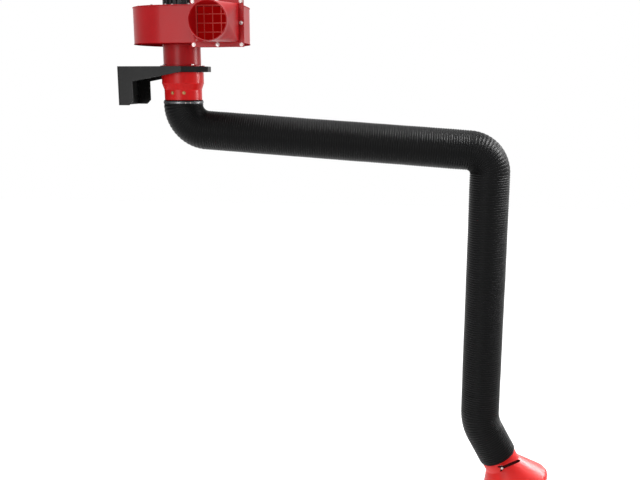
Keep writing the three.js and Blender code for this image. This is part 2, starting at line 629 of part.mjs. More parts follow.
function addMotor(group) {
	const motor = new THREE.Group();
	motor.position.x = AXIS_X;
	group.add(motor);
	const flangeTop = MOTOR_FLANGE_BOTTOM + MOTOR_FLANGE_T;
	const flange = ring(SHAFT_BORE_R, MOTOR_FLANGE_R, MOTOR_FLANGE_BOTTOM, flangeTop);
	add(motor, 'motor_flange', materials.black, flange);
	add(motor, 'motor_frame', materials.black, motorFrame());
	const shield = ring(SHAFT_BORE_R, MOTOR_CORE_R, SHIELD_BOTTOM, SHIELD_TOP, MEDIUM);
	add(motor, 'motor_end_shield', materials.black, shield);
	add(motor, 'motor_cowl', materials.black, motorCowl());

	const boxBack = MOTOR_R + SEAT_GAP;
	const boxFront = boxBack + TERMINAL_D;
	const boxLow = MOTOR_BOTTOM + (MOTOR_LENGTH - COWL_HEIGHT / 4 - TERMINAL_H) / 2;
	const boxHigh = boxLow + TERMINAL_H;
	const gland = [boxLow + TERMINAL_H / 2, boxBack + TERMINAL_D / 2];
	const holeR = (GLAND_BORE_R + SEAT_GAP) / Math.cos(Math.PI / COARSE);
	const half = TERMINAL_W / 2;
	const hollow = box(-half + TERMINAL_WALL, half - TERMINAL_WALL, boxBack + TERMINAL_WALL, boxFront + 1,
		boxLow + TERMINAL_WALL, boxHigh - TERMINAL_WALL);
	const cableHole = alongX(round(holeR, 0, half + 1, COARSE)).translate(0, gland[1], gland[0]);
	const shell = cut(box(-half, half, boxBack, boxFront, boxLow, boxHigh), hollow, cableHole);
	add(motor, 'terminal_box', materials.black, shell);
	const lidBack = boxFront + SEAT_GAP;
	const lid = box(-half, half, lidBack, lidBack + TERMINAL_LID_T, boxLow, boxHigh);
	add(motor, 'terminal_lid', materials.black, lid);
	const nut = ring(GLAND_BORE_R / 2, GLAND_R, half + SEAT_GAP, half + GLAND_LENGTH, 6);
	const tail = ring(GLAND_BORE_R / 2, GLAND_BORE_R, half - TERMINAL_WALL, half + GLAND_LENGTH / 2, COARSE);
	add(motor, 'cable_gland', materials.plastic, alongX(join(nut, tail)).translate(0, gland[1], gland[0]));
}

// What turns with the motor's shaft
function impeller() {
	const backPlate = round(IMPELLER_R, IMPELLER_TOP - IMPELLER_PLATE_T, IMPELLER_TOP, FINE);
	const shroud = ring(IMPELLER_EYE_R, IMPELLER_R, IMPELLER_BOTTOM, IMPELLER_BOTTOM + IMPELLER_PLATE_T);
	const hub = round(HUB_R, HUB_BOTTOM, IMPELLER_TOP);
	const blades = onCircle(IMPELLER_BLADES, 0, (x, y, angle) => {
		const length = IMPELLER_R - IMPELLER_EYE_R - IMPELLER_BLADE_T;
		const blade = box(0, length, -IMPELLER_BLADE_T / 2, IMPELLER_BLADE_T / 2,
			IMPELLER_BOTTOM + 1, IMPELLER_TOP - 1);
		return blade.rotateZ(rad(-30)).translate(IMPELLER_EYE_R + IMPELLER_BLADE_T, 0, 0).rotateZ(angle);
	});
	const bore = round(SHAFT_BORE_R, HUB_BOTTOM - 1, IMPELLER_TOP + 1);
	return cut(join(backPlate, shroud, hub, ...blades), bore);
}

function coolingFan() {
	const top = COOLING_FAN_BOTTOM + COOLING_FAN_H;
	const blades = onCircle(6, 0, (x, y, angle) =>
		box(HUB_R - 2, COOLING_FAN_R, -2, 2, COOLING_FAN_BOTTOM, top).rotateZ(angle));
	return join(ring(SHAFT_BORE_R, HUB_R, COOLING_FAN_BOTTOM, top, MEDIUM), ...blades);
}

function addRotor(group) {
	const rotor = new THREE.Group();
	rotor.position.x = AXIS_X;
	group.add(rotor);
	const rotorInset = 3 * SEAT_GAP;
	add(rotor, 'motor_shaft', materials.steel, round(SHAFT_R, HUB_BOTTOM, COOLING_FAN_BOTTOM + COOLING_FAN_H));
	add(rotor, 'motor_rotor', materials.galvanised,
		ring(SHAFT_BORE_R, ROTOR_R, MOTOR_BOTTOM + rotorInset, MOTOR_TOP - rotorInset, MEDIUM));
	add(rotor, 'impeller', materials.galvanised, impeller());
	const boltTop = HUB_BOTTOM - SEAT_GAP;
	add(rotor, 'impeller_bolt', materials.steel, round(SHAFT_R + 4, boltTop - SHAFT_R, boltTop, 6));
	add(rotor, 'cooling_fan', materials.plastic, coolingFan());
}

// Swivel
function swivelRing() {
	const flangeBottom = RING_TOP - RING_FLANGE_T;
	const whole = turned([
		[RING_BORE_R, RING_BOTTOM], [RING_LIP_R, RING_BOTTOM], [RING_LIP_R, RING_LIP_TOP],
		[RING_SPIGOT_R, RING_LIP_TOP], [RING_SPIGOT_R, flangeBottom], [RING_FLANGE_R, flangeBottom],
		[RING_FLANGE_R, RING_TOP], [RING_BORE_R, RING_TOP]
	]).translate(AXIS_X, 0, 0);
	return cut(whole, ...ringBoltHoles());
}

function yokeScrewPlace(side) {
	const x = side * YOKE_SCREW_X;
	return [x, -Math.sqrt(COLLAR_NECK_R ** 2 - x ** 2), YOKE_SCREW_Z];
}

function swivelCollar() {
	const wall = COLLAR_T;
	const shell = turned([
		[SPIGOT_R - wall, COLLAR_BOTTOM - SPIGOT_LENGTH], [SPIGOT_R, COLLAR_BOTTOM - SPIGOT_LENGTH],
		[SPIGOT_R, COLLAR_BOTTOM], [COLLAR_NECK_R, COLLAR_BOTTOM], [COLLAR_NECK_R, COLLAR_NECK_TOP],
		[COLLAR_R, COLLAR_TAPER_TOP], [COLLAR_R, COLLAR_TOP], [COLLAR_R - wall, COLLAR_TOP],
		[COLLAR_R - wall, COLLAR_TAPER_TOP], [COLLAR_NECK_R - wall, COLLAR_NECK_TOP],
		[COLLAR_NECK_R - wall, COLLAR_BOTTOM + wall], [SPIGOT_R - wall, COLLAR_BOTTOM + wall]
	]);
	const holeR = (YOKE_SCREW_R + SEAT_GAP) / Math.cos(Math.PI / COARSE);
	const holes = [-1, 1].map(side => {
		const [x, , z] = yokeScrewPlace(side);
		return alongY(round(holeR, -COLLAR_R, 0, COARSE)).translate(x, 0, z);
	});
	return cut(shell, ...holes);
}

function yokeScrew() {
	const head = round(YOKE_SCREW_HEAD_R, -YOKE_SCREW_HEAD_H - SEAT_GAP, -SEAT_GAP, 6);
	const relief = YOKE_SCREW_HEAD_R * YOKE_SCREW_X / Math.sqrt(COLLAR_NECK_R ** 2 - YOKE_SCREW_X ** 2);
	const shank = round(YOKE_SCREW_R, -YOKE_SCREW_HEAD_H - SEAT_GAP, COLLAR_T + YOKE_PAD_T / 2, COARSE);
	return alongY(join(head.translate(0, 0, -relief), shank));
}

function forkCheek(back, y0, y1) {
	return upright(tongueOutline(back, CHEEK_R), y0, y1);
}

// A bar with a round end on the pivot, running back along -X
function tongueOutline(back, radius) {
	const points = [[-back, -radius]];
	for (let i = 0; i <= 10; i++) {
		const angle = -Math.PI / 2 + Math.PI * i / 10;
		points.push([radius * Math.cos(angle), radius * Math.sin(angle)]);
	}
	points.push([-back, radius]);
	return points;
}

const pinHole = () => alongY(round(PIN_BORE_R, -2 * CHEEK_OUTER, 2 * CHEEK_OUTER, COARSE));

function fork(back) {
	return [forkCheek(back, -CHEEK_OUTER, -CHEEK_INNER), forkCheek(back, CHEEK_INNER, CHEEK_OUTER)];
}

const tongue = reach => upright(tongueOutline(reach, TONGUE_R), -TONGUE_T / 2, TONGUE_T / 2).rotateY(Math.PI);

function addPivot(parent, child, name) {
	const headInner = CHEEK_OUTER + SEAT_GAP;
	const pin = join(
		round(PIN_R, -headInner - PIN_HEAD_H, headInner + NUT_H, COARSE),
		round(PIN_HEAD_R, -headInner - PIN_HEAD_H, -headInner, 6)
	);
	add(parent, `${name}_pin`, materials.steel, alongY(pin));
	const nut = cut(
		round(PIN_HEAD_R, headInner, headInner + NUT_H, 6),
		round(PIN_BORE_R, headInner - 1, headInner + NUT_H + 1, COARSE)
	);
	add(parent, `${name}_nut`, materials.steel, alongY(nut));
	for (const [i, y] of [-DISC_INNER - DISC_T, DISC_INNER].entries()) {
		const disc = ring(PIN_BORE_R, DISC_R, y, y + DISC_T, COARSE);
		add(child, `${name}_disc_${i + 1}`, materials.plastic, alongY(disc));
	}
}

// The yoke hangs from two pads inside the collar's neck. Its fork is built about the pivot.
function shoulderYoke() {
	const neckBore = COLLAR_NECK_R - COLLAR_T - SEAT_GAP;
	const strapZ = YOKE_SCREW_Z - SHOULDER_Z;
	const strapBottom = strapZ - STRAP_T / 2;
	const strapTop = strapZ + STRAP_T / 2;
	const inside = round(neckBore, strapZ - YOKE_PAD_H, strapZ + YOKE_PAD_H, FINE);
	const strap = overlap(box(-STRAP_W / 2, STRAP_W / 2, -COLLAR_R, COLLAR_R, strapBottom, strapTop), inside);
	const padRing = ring(neckBore - YOKE_PAD_T, neckBore, strapZ - YOKE_PAD_H / 2, strapZ + YOKE_PAD_H / 2);
	const pads = [-1, 1].map(side => {
		const [y0, y1] = [0, side * COLLAR_R].sort((a, b) => a - b);
		const half = YOKE_PAD_W / 2;
		return overlap(padRing, box(-half, half, y0, y1, strapZ - YOKE_PAD_H, strapZ + YOKE_PAD_H));
	});
	const cheeks = fork(strapZ).map(cheek => cheek.rotateY(Math.PI / 2));
	const lugShaft = alongY(round(SPRING_LUG_R, -CHEEK_OUTER, CHEEK_OUTER, COARSE))
		.translate(SPRING_LUG_FORWARD, 0, SPRING_LUG_RISE);
	const lugArms = [-CHEEK_OUTER, CHEEK_INNER].map(y =>
		box(0, SPRING_LUG_FORWARD + SPRING_LUG_R, y, y + CHEEK_T, SPRING_LUG_RISE - 2 * SPRING_LUG_R,
			SPRING_LUG_RISE + 2 * SPRING_LUG_R));
	const screwHoles = [-1, 1].map(side => {
		const [x, , z] = yokeScrewPlace(side);
		const holeR = (YOKE_SCREW_R + SEAT_GAP) / Math.cos(Math.PI / COARSE);
		return alongY(round(holeR, -COLLAR_R, 0, COARSE)).translate(x, 0, z - SHOULDER_Z);
	});
	return cut(join(strap, ...pads, ...cheeks, lugShaft, ...lugArms), pinHole(), ...screwHoles);
}

// Hose clamp: a band with a screw housing on it
function hoseClamp() {
	const band = ring(CLAMP_BORE_R, CLAMP_BORE_R + CLAMP_T, -CLAMP_W, 0);
	const half = CLAMP_HOUSING_W / 2;
	const rise = CLAMP_BORE_R + CLAMP_T / 2;
	const housing = box(rise, rise + CLAMP_HOUSING_H, -half, half, -CLAMP_W, 0);
	const bore = (CLAMP_SCREW_R + SEAT_GAP) / Math.cos(Math.PI / COARSE);
	const channel = alongY(round(bore, -CLAMP_HOUSING_W, CLAMP_HOUSING_W, COARSE));
	return cut(join(band, housing), channel.translate(CLAMP_SCREW_RISE, 0, -CLAMP_W / 2));
}

function addSwivel(group) {
	const swivel = new THREE.Group();
	swivel.position.x = AXIS_X;
	group.add(swivel);
	const inner = (RING_SPIGOT_R + RUN_GAP) / Math.cos(Math.PI / FINE);
	const slide = ring(inner, RING_LIP_R, SLIDE_RING_BOTTOM, SLIDE_RING_BOTTOM + SLIDE_RING_T);
	add(swivel, 'slide_ring', materials.plastic, slide);
	const retainerR = COLLAR_R - COLLAR_T - SEAT_GAP;
	const retainer = ring(inner, retainerR, RETAINER_BOTTOM, RETAINER_BOTTOM + RETAINER_T);
	add(swivel, 'retaining_ring', materials.galvanised, retainer);
	add(swivel, 'swivel_collar', materials.red, swivelCollar());
	for (const [i, side] of [-1, 1].entries()) {
		add(swivel, `yoke_screw_${i + 1}`, materials.steel, yokeScrew()).position.set(...yokeScrewPlace(side));
	}
	add(swivel, 'shoulder_yoke', materials.black, shoulderYoke()).position.z = SHOULDER_Z;
	const clamp = new THREE.Group();
	clamp.position.z = HOSE_TOP - CLAMP_DROP;
	clamp.rotation.z = rad(CLAMP_ANGLE_DEG);
	swivel.add(clamp);
	add(clamp, 'hose_clamp', materials.steel, hoseClamp());
	const half = CLAMP_SCREW_LENGTH / 2;
	const screw = alongY(round(CLAMP_SCREW_R, -half, half, COARSE));
	add(clamp, 'clamp_screw', materials.steel, screw).position.set(CLAMP_SCREW_RISE, 0, -CLAMP_W / 2);
	return swivel;
}

// Hose
// A plane curve in X and Z that runs straight to a corner, round it with a given radius, and straight on
class BentLine extends THREE.Curve {
	constructor(start, corner, end, radius) {
		super();
		this.into = corner.clone().sub(start).normalize();
		this.out = end.clone().sub(corner).normalize();
		this.turn = Math.atan2(this.into.clone().cross(this.out), this.into.dot(this.out));
		this.radius = radius;
		const tangent = radius * Math.tan(Math.abs(this.turn) / 2);
		this.start = start;
		this.bend = corner.clone().addScaledVector(this.into, -tangent);
		this.runIn = start.distanceTo(corner) - tangent;
		this.arc = radius * Math.abs(this.turn);
		this.total = this.runIn + this.arc + corner.distanceTo(end) - tangent;
	}

	at(distance) {
		const along = Math.min(Math.max(distance - this.runIn, 0), this.arc);
		const angle = Math.sign(this.turn) * along / this.radius;
		const heading = this.into.clone().rotateAround(new THREE.Vector2(), angle);
		const chord = 2 * this.radius * Math.sin(Math.abs(angle) / 2);
		const middle = this.into.clone().rotateAround(new THREE.Vector2(), angle / 2);
		const point = this.bend.clone().addScaledVector(middle, chord);
		if (distance < this.runIn) point.copy(this.start).addScaledVector(this.into, distance);
		if (distance > this.runIn + this.arc) point.addScaledVector(this.out, distance - this.runIn - this.arc);
		return { point, heading };
	}
}

function hoseLoop(curve, distance, radius) {
	const { point, heading } = curve.at(distance);
	const loop = [];
	for (let i = 0; i < HOSE_SIDES; i++) {
		const angle = 2 * Math.PI * i / HOSE_SIDES;
		const side = radius * Math.cos(angle);
		loop.push([point.x - heading.y * side, -radius * Math.sin(angle), point.y + heading.x * side]);
	}
	return loop;
}

function hose(curve, boreRibs) {
	const low = SEAT_GAP / 2;
	const length = curve.total - SEAT_GAP;
	const ribs = Math.max(1, Math.round(length / RIB_PITCH));
	const place = rib => low + length * rib / ribs;
	const loops = [];
	for (let rib = 0; rib < ribs; rib++) {
		loops.push(hoseLoop(curve, place(rib), HOSE_VALLEY_R));
		loops.push(hoseLoop(curve, place(rib + 0.5), HOSE_CREST_R));
	}
	loops.push(hoseLoop(curve, place(ribs), HOSE_VALLEY_R));
	const boreSteps = Math.ceil(ribs / boreRibs);
	for (let step = boreSteps; step >= 0; step--) {
		loops.push(hoseLoop(curve, place(ribs * step / boreSteps), HOSE_BORE_R));
	}
	return loopsToTube(loops);
}

function straight(from, to) {
	const middle = from.clone().lerp(to, 0.5);
	return new BentLine(from, middle, to, 1);
}

// The hose follows the arm's line: down from the collar, along both arms and out to the hood
function hoseCurves() {
	const heading = deg => new THREE.Vector2(Math.cos(rad(deg)), -Math.sin(rad(deg)));
	const upperHeading = heading(UPPER_DROP_DEG);
	const lowerHeading = heading(UPPER_DROP_DEG + ELBOW_BEND_DEG);
	const hoodHeading = heading(UPPER_DROP_DEG + ELBOW_BEND_DEG - WRIST_BEND_DEG);
	const top = new THREE.Vector2(AXIS_X, HOSE_TOP);
	const shoulder = new THREE.Vector2(AXIS_X, SHOULDER_Z);
	const elbow = shoulder.clone().addScaledVector(upperHeading, UPPER_LENGTH);
	const wrist = elbow.clone().addScaledVector(lowerHeading, LOWER_LENGTH);
	const upperStart = shoulder.clone().addScaledVector(upperHeading, SHOULDER_REACH);
	const upperEnd = elbow.clone().addScaledVector(upperHeading, -ELBOW_REACH);
	const lowerStart = elbow.clone().addScaledVector(lowerHeading, ELBOW_REACH);
	const lowerEnd = wrist.clone().addScaledVector(lowerHeading, -WRIST_REACH);
	const tail = wrist.clone().addScaledVector(hoodHeading, HOSE_TAIL);
	return {
		shoulder_hose: new BentLine(top, shoulder, upperStart, SHOULDER_BEND_R),
		upper_hose: straight(upperStart, upperEnd),
		elbow_hose: new BentLine(upperEnd, elbow, lowerStart, ELBOW_BEND_R),
		lower_hose: straight(lowerStart, lowerEnd),
		wrist_hose: new BentLine(lowerEnd, wrist, tail, WRIST_BEND_R)
	};
}

function addHoses(group) {
	for (const [name, curve] of Object.entries(hoseCurves())) {
		const bent = Math.abs(curve.turn) > 1e-6;
		add(group, name, materials.hose, hose(curve, bent ? 1 : BORE_RIBS));
	}
}

// Arms. Each is built along its own +X, from its first pivot to its second.
function armTube(length) {
	const [w, h] = [TUBE_W / 2, TUBE_H / 2];
	const tube = cut(
		box(TUBE_START, length - TUBE_START, -w, w, -h, h),
		box(TUBE_START - 1, length - TUBE_START + 1, -w + TUBE_T, w - TUBE_T, -h + TUBE_T, h - TUBE_T)
	);
	const cheeks = fork(TUBE_START + TUBE_H).map(cheek => cheek.translate(length, 0, 0));
	const pieces = join(tube, tongue(TUBE_START + TUBE_H), ...cheeks);
	return cut(pieces, pinHole(), pinHole().translate(length, 0, 0));
}

function upperTube() {
	const lug = box(SPRING_LUG_REACH, SPRING_LUG_REACH + TUBE_H, -TUBE_W / 2, TUBE_W / 2, TUBE_H / 2 - 1, TUBE_H);
	return join(armTube(UPPER_LENGTH), lug);
}

// The spring runs from the yoke's lug to the lug on the upper tube, both given in the arm's own frame
function balanceSpring() {
	const tilt = rad(UPPER_DROP_DEG);
	const yokeLug = new THREE.Vector2(SPRING_LUG_FORWARD, SPRING_LUG_RISE).rotateAround(new THREE.Vector2(), tilt);
	const tubeLug = new THREE.Vector2(SPRING_LUG_REACH, TUBE_H / 2 + SPRING_R);
	const run = tubeLug.clone().sub(yokeLug);
	const low = SPRING_LUG_R + SEAT_GAP;
	const high = run.length() - SPRING_R;
	const body = join(
		round(SPRING_R, 4 * SPRING_LUG_R, high, COARSE),
		round(SPRING_R / 2, low, high, COARSE)
	);
	const spring = alongX(body).rotateY(-run.angle()).translate(yokeLug.x, 0, yokeLug.y);
	const clear = box(SPRING_LUG_REACH - SEAT_GAP, UPPER_LENGTH, -TUBE_W, TUBE_W, -TUBE_H, 2 * TUBE_H);
	const top = TUBE_H / 2 + SEAT_GAP;
	return cut(spring, clear, box(0, UPPER_LENGTH, -TUBE_W, TUBE_W, -TUBE_H, top));
}

function neckRing() {
	const inner = SPIGOT_R - NECK_SHEET_T;
	const shell = alongX(ring(inner, SPIGOT_R, NECK_RING_START, NECK_RING_END));
	const strap = overlap(
		box(NECK_RING_START, NECK_RING_START + STRAP_T, -SPIGOT_R, SPIGOT_R, -STRAP_W / 2, STRAP_W / 2),
		alongX(round(inner + NECK_SHEET_T / 2, NECK_RING_START - 1, NECK_RING_END, FINE))
	);
	return cut(join(shell, strap, tongue(NECK_RING_START + STRAP_T / 2)), pinHole());
}

function hoodBell() {
	const slope = Math.atan2(HOOD_MOUTH_R - HOOD_NECK_R, HOOD_CONE_H);
	const t = HOOD_SHEET_T;
	const lift = t * Math.tan(slope / 2);
	const bead = [];
	for (let i = 0; i <= BEAD_STEPS; i++) {
		const angle = -Math.PI / 2 + Math.PI * i / BEAD_STEPS;
		bead.push([HOOD_MOUTH_R + HOOD_BEAD_R * Math.cos(angle), HOOD_MOUTH + HOOD_BEAD_R * (1 + Math.sin(angle))]);
	}
	const outer = [
		[SLEEVE_R, HOOD_NECK_TOP - HOOD_SLEEVE_LENGTH], [SLEEVE_R, HOOD_NECK_TOP], [HOOD_NECK_R, HOOD_NECK_TOP],
		[HOOD_NECK_R, HOOD_NECK_BOTTOM], [HOOD_MOUTH_R, HOOD_CONE_BOTTOM], ...bead
	];
	const inner = [
		[HOOD_MOUTH_R - t, HOOD_MOUTH + 2 * HOOD_BEAD_R], [HOOD_MOUTH_R - t, HOOD_CONE_BOTTOM + lift],
		[HOOD_NECK_R - t, HOOD_NECK_BOTTOM + lift], [HOOD_NECK_R - t, HOOD_NECK_TOP + t],
		[SLEEVE_BORE_R, HOOD_NECK_TOP + t], [SLEEVE_BORE_R, HOOD_NECK_TOP - HOOD_SLEEVE_LENGTH]
	];
	const shaftHole = alongY(round(DAMPER_BORE_R, -2 * HOOD_NECK_R, 2 * HOOD_NECK_R, COARSE));
	return cut(alongX(turned([...outer, ...inner])), shaftHole.translate(DAMPER_X, 0, 0));
}

function damperShaft() {
	const start = HOOD_NECK_R - HOOD_SHEET_T / 2;
	const boss = round(DAMPER_BOSS_R, -LEVER_INNER + SEAT_GAP, -HOOD_NECK_R - RUN_GAP, COARSE);
	return alongY(join(round(DAMPER_SHAFT_R, -LEVER_OUTER, start + DAMPER_BOSS_R, COARSE), boss));
}

function damperLever() {
	const bar = [];
	for (let i = 0; i <= 6; i++) {
		const angle = Math.PI * i / 6;
		bar.push([LEVER_W / 2 * Math.cos(angle), LEVER_LENGTH + LEVER_W / 2 * Math.sin(angle)]);
	}
	bar.push([-LEVER_W / 2, 0], [LEVER_W / 2, 0]);
	const hub = alongY(round(LEVER_HUB_R, -LEVER_OUTER, -LEVER_INNER, COARSE));
	const hole = alongY(round(DAMPER_BORE_R, -LEVER_OUTER - 1, -LEVER_INNER + 1, COARSE));
	return cut(join(upright(bar, -LEVER_OUTER, -LEVER_INNER), hub), hole);
}

function addDamper(group) {
	const damper = new THREE.Group();
	damper.position.x = DAMPER_X;
	group.add(damper);
	add(damper, 'damper_shaft', materials.steel, damperShaft());
	const bladeStart = DAMPER_SHAFT_R + SEAT_GAP;
	const blade = alongX(round(DAMPER_BLADE_R, bladeStart, bladeStart + DAMPER_BLADE_T, FINE));
	add(damper, 'damper_blade', materials.galvanised, blade);
	add(damper, 'damper_lever', materials.black, damperLever());
	const screwInner = LEVER_OUTER + SEAT_GAP;
	const screw = alongY(round(LEVER_SCREW_R, -screwInner - LEVER_SCREW_H, -screwInner, COARSE));
	add(damper, 'lever_screw', materials.steel, screw);
}

function addArms(swivel) {
	const shoulder = new THREE.Group();
	shoulder.position.z = SHOULDER_Z;
	swivel.add(shoulder);
	const upper = new THREE.Group();
	upper.rotation.y = rad(UPPER_DROP_DEG);
	shoulder.add(upper);
	add(upper, 'upper_tube', materials.black, upperTube());
	add(upper, 'balance_spring', materials.galvanised, balanceSpring());
	addPivot(shoulder, upper, 'shoulder');

	const elbow = new THREE.Group();
	elbow.position.x = UPPER_LENGTH;
	upper.add(elbow);
	const lower = new THREE.Group();
	lower.rotation.y = rad(ELBOW_BEND_DEG);
	elbow.add(lower);
	add(lower, 'lower_tube', materials.black, armTube(LOWER_LENGTH));
	addPivot(elbow, lower, 'elbow');

	const wrist = new THREE.Group();
	wrist.position.x = LOWER_LENGTH;
	lower.add(wrist);
	const hood = new THREE.Group();
	hood.rotation.y = -rad(WRIST_BEND_DEG);
	wrist.add(hood);
	add(hood, 'neck_ring', materials.red, neckRing());
	addPivot(wrist, hood, 'wrist');
	add(hood, 'hood_bell', materials.red, hoodBell());
	addDamper(hood);
}

const arm = new THREE.Group();
addWallMount(arm);
addFanCasing(arm);
addMotor(arm);
addRotor(arm);
add(arm, 'swivel_ring', materials.black, swivelRing());
addArms(addSwivel(arm));
addHoses(arm);

export default arm;
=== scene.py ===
"""Looks of a wall-mounted fume extraction arm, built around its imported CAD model.

Sizes below are in millimetres, in the CAD's frame: the origin is the centre of the wall plate's back face,
+X points away from the wall, +Z is up, and the arm hangs in the plane Y = 0.
"""
import json
import math

import bmesh
import bpy
import numpy as np
from mathutils import Matrix, Vector

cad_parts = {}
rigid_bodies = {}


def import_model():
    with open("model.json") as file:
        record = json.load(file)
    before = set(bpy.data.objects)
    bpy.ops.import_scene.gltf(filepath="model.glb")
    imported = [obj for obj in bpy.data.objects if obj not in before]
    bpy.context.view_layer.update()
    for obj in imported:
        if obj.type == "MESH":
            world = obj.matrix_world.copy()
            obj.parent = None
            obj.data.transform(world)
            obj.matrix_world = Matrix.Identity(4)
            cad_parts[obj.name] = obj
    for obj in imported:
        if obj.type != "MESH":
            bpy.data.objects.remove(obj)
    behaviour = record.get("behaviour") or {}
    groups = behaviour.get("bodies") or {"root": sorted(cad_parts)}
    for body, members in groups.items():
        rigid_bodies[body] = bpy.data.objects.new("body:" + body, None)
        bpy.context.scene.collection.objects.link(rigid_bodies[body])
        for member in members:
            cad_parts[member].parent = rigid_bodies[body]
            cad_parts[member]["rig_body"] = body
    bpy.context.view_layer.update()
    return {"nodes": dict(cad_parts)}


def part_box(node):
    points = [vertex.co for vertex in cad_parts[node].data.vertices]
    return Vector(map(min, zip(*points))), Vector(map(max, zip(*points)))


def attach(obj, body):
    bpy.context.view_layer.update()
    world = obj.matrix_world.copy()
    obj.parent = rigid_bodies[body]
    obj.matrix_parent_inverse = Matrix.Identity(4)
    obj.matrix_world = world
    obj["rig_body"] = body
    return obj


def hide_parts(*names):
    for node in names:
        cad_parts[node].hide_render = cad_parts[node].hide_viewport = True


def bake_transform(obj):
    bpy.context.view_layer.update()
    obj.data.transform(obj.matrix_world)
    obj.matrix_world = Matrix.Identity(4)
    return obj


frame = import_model()
NODES = frame["nodes"]
MM = 0.001

# Fan axis, duct and swivel
AXIS_X = 260.5
FAN_AXIS = Matrix.Translation((AXIS_X, 0, 0))
SHEET = 2.5
BRACKET_TOP = 85.0
DUCT_R = 84.0
DUCT_BORE_R = DUCT_R - SHEET
DUCT_FLANGE_R = DUCT_R + 16.0
DUCT_LOW = BRACKET_TOP + 0.3
DUCT_FLANGE_TOP = DUCT_LOW + 4.0
DUCT_TOP = 179.7
BOLT_PITCH_R = DUCT_R + 8.0
COLLAR_R = 94.3
COLLAR_NECK_R = 84.5
COLLAR_WALL = 2.0
COLLAR_TOP = 60.0
COLLAR_STEP_Z = 10.0
COLLAR_NECK_Z = -18.0
COLLAR_LOW = -64.0
COLLAR_SCREW_X = 26.0
COLLAR_SCREW_Z = -31.0
SPIGOT_R = 80.0
SPIGOT_LOW = COLLAR_LOW - 20.0
CLAMP_TOP = COLLAR_LOW - 5.3
CLAMP_W = 9.0
CLAMP_R = 89.4
CLAMP_ANGLE = -62.0

# Volute
SCROLL_LOW = 180.0
SCROLL_TOP = 336.0
COVER_TOP = SCROLL_TOP + 2.8
COVER_OVERHANG = 2.0
COVER_HOLE_R = 24.5
COVER_SCREWS = 15
SCROLL_FRONT = -178.0
SCROLL_ARC_R = 174.0
SCROLL_SIDE_STEP = 81.5
SCROLL_REAR_STEP = 8.0
SCROLL_ARC_CENTRE = (AXIS_X - 34.5, SCROLL_FRONT + SCROLL_ARC_R)
OUTLET_RIGHT = SCROLL_ARC_CENTRE[0] + SCROLL_ARC_R + 2 * SCROLL_SIDE_STEP + SCROLL_REAR_STEP
OUTLET_LEFT = OUTLET_RIGHT - 188.0
OUTLET_FRONT = SCROLL_FRONT - 22.0
OUTLET_X = (OUTLET_LEFT + OUTLET_RIGHT) / 2
OUTLET_Z = 259.4
FLANGE_HALF = (114.0, 98.0)
OUTLET_HALF = (91.5, 75.5)
OUTLET_BOLT_HALF = (103.0, 88.0)
GASKET_HALF = (83.5, 67.5)
SPOUT_R = 80.0
GASKET_FRONT = OUTLET_FRONT - 5.3
FLANGE_BACK = GASKET_FRONT - 0.3
FLANGE_FRONT = OUTLET_FRONT - 8.6
ROUND_START = FLANGE_FRONT - 145.0
MOUTH_Y = ROUND_START - 18.0
GUARD_Y = FLANGE_FRONT + 1.0
GUARD_PITCH = 37.0
GUARD_HALF = (91.0, 75.0)
GUARD_WIRE_R = 2.0

# Motor
MOTOR_FOOT_LOW = 339.1
MOTOR_FOOT_TOP = 351.1
MOTOR_BOLT_R = 71.5
SHAFT_HOLE_R = 9.8
MOTOR_LOW = 351.4
MOTOR_TOP = MOTOR_LOW + 140.0
MOTOR_CORE_R = 64.0
MOTOR_FOOT_R = MOTOR_CORE_R + 15.7
MOTOR_R = 78.0
MOTOR_FINS = 20
COWL_LOW = MOTOR_TOP - 15.5
COWL_TOP = COWL_LOW + 62.0
COWL_R = 81.0
GLAND_X = AXIS_X + 46.2

# Hose and arm
HOSE_R = 88.5
HOSE_CREST = 0.4
HOSE_BORE_R = 83.2
CLAMP_PINCH = 0.9
PINCHED = (2.0, 19.0)
RIB_PITCH = 10.7
RIB_DEPTH = 3.0
RIB_DEPTH_RANGE = (1.8, 4.8)
RIB_RINGS = 6
HOSE_SIDES = 60
HOSE_TOP = COLLAR_LOW - 0.15
UPPER_DEG = -3.85
LOWER_DEG = -89.9
HOOD_DEG = -61.1
UPPER_LENGTH = 1393.5
LOWER_LENGTH = 1279.0
SHOULDER = (AXIS_X, -193.3)
SHOULDER_BEND_R = 115.5
ELBOW_BEND_R = HOSE_R + 15.0
WRIST_BEND_R = 208.3
REACH = 225.0
WRIST_REACH = 150.0
HOSE_TAIL = 196.0
HOSE_END = 16.0
HOSE_END_DROP = 5.4
BORE_END_DROP = 2.2

# Balance spring, from a lug on the yoke to a lug on the tube, each measured from the shoulder's pivot
SPRING_FOOT = (26.0, 52.0)
SPRING_REACH = 340.0
SPRING_RISE = 30.0
SPRING_TURNS = 44
SPRING_END = 24.0
COIL_R = 7.6
COIL_WIRE_R = 1.7

# Hood, measured along its own axis from the wrist's pivot
HOOD_SHEET = 2.0
HOOD_SLEEVE_R = 76.8
NECK_R = 83.5
NECK_TOP = HOSE_TAIL + 0.3
SLEEVE_TOP = NECK_TOP - 40.0
NECK_LOW = HOSE_TAIL + 44.0
MOUTH_R = 165.5
CONE_LOW = NECK_LOW + 113.5
MOUTH = CONE_LOW + 12.0
BEAD_R = 4.0
DAMPER_AT = HOSE_TAIL + 16.0
LEVER_FOOT = NECK_R + 11.0
LEVER_T = 6.0


def towards(origin, degrees, length):
    """A point in X and Z, a length from the origin in the given direction."""
    angle = math.radians(degrees)
    return (origin[0] + length * math.cos(angle), origin[1] + length * math.sin(angle))


ELBOW = towards(SHOULDER, UPPER_DEG, UPPER_LENGTH)
WRIST = towards(ELBOW, LOWER_DEG, LOWER_LENGTH)

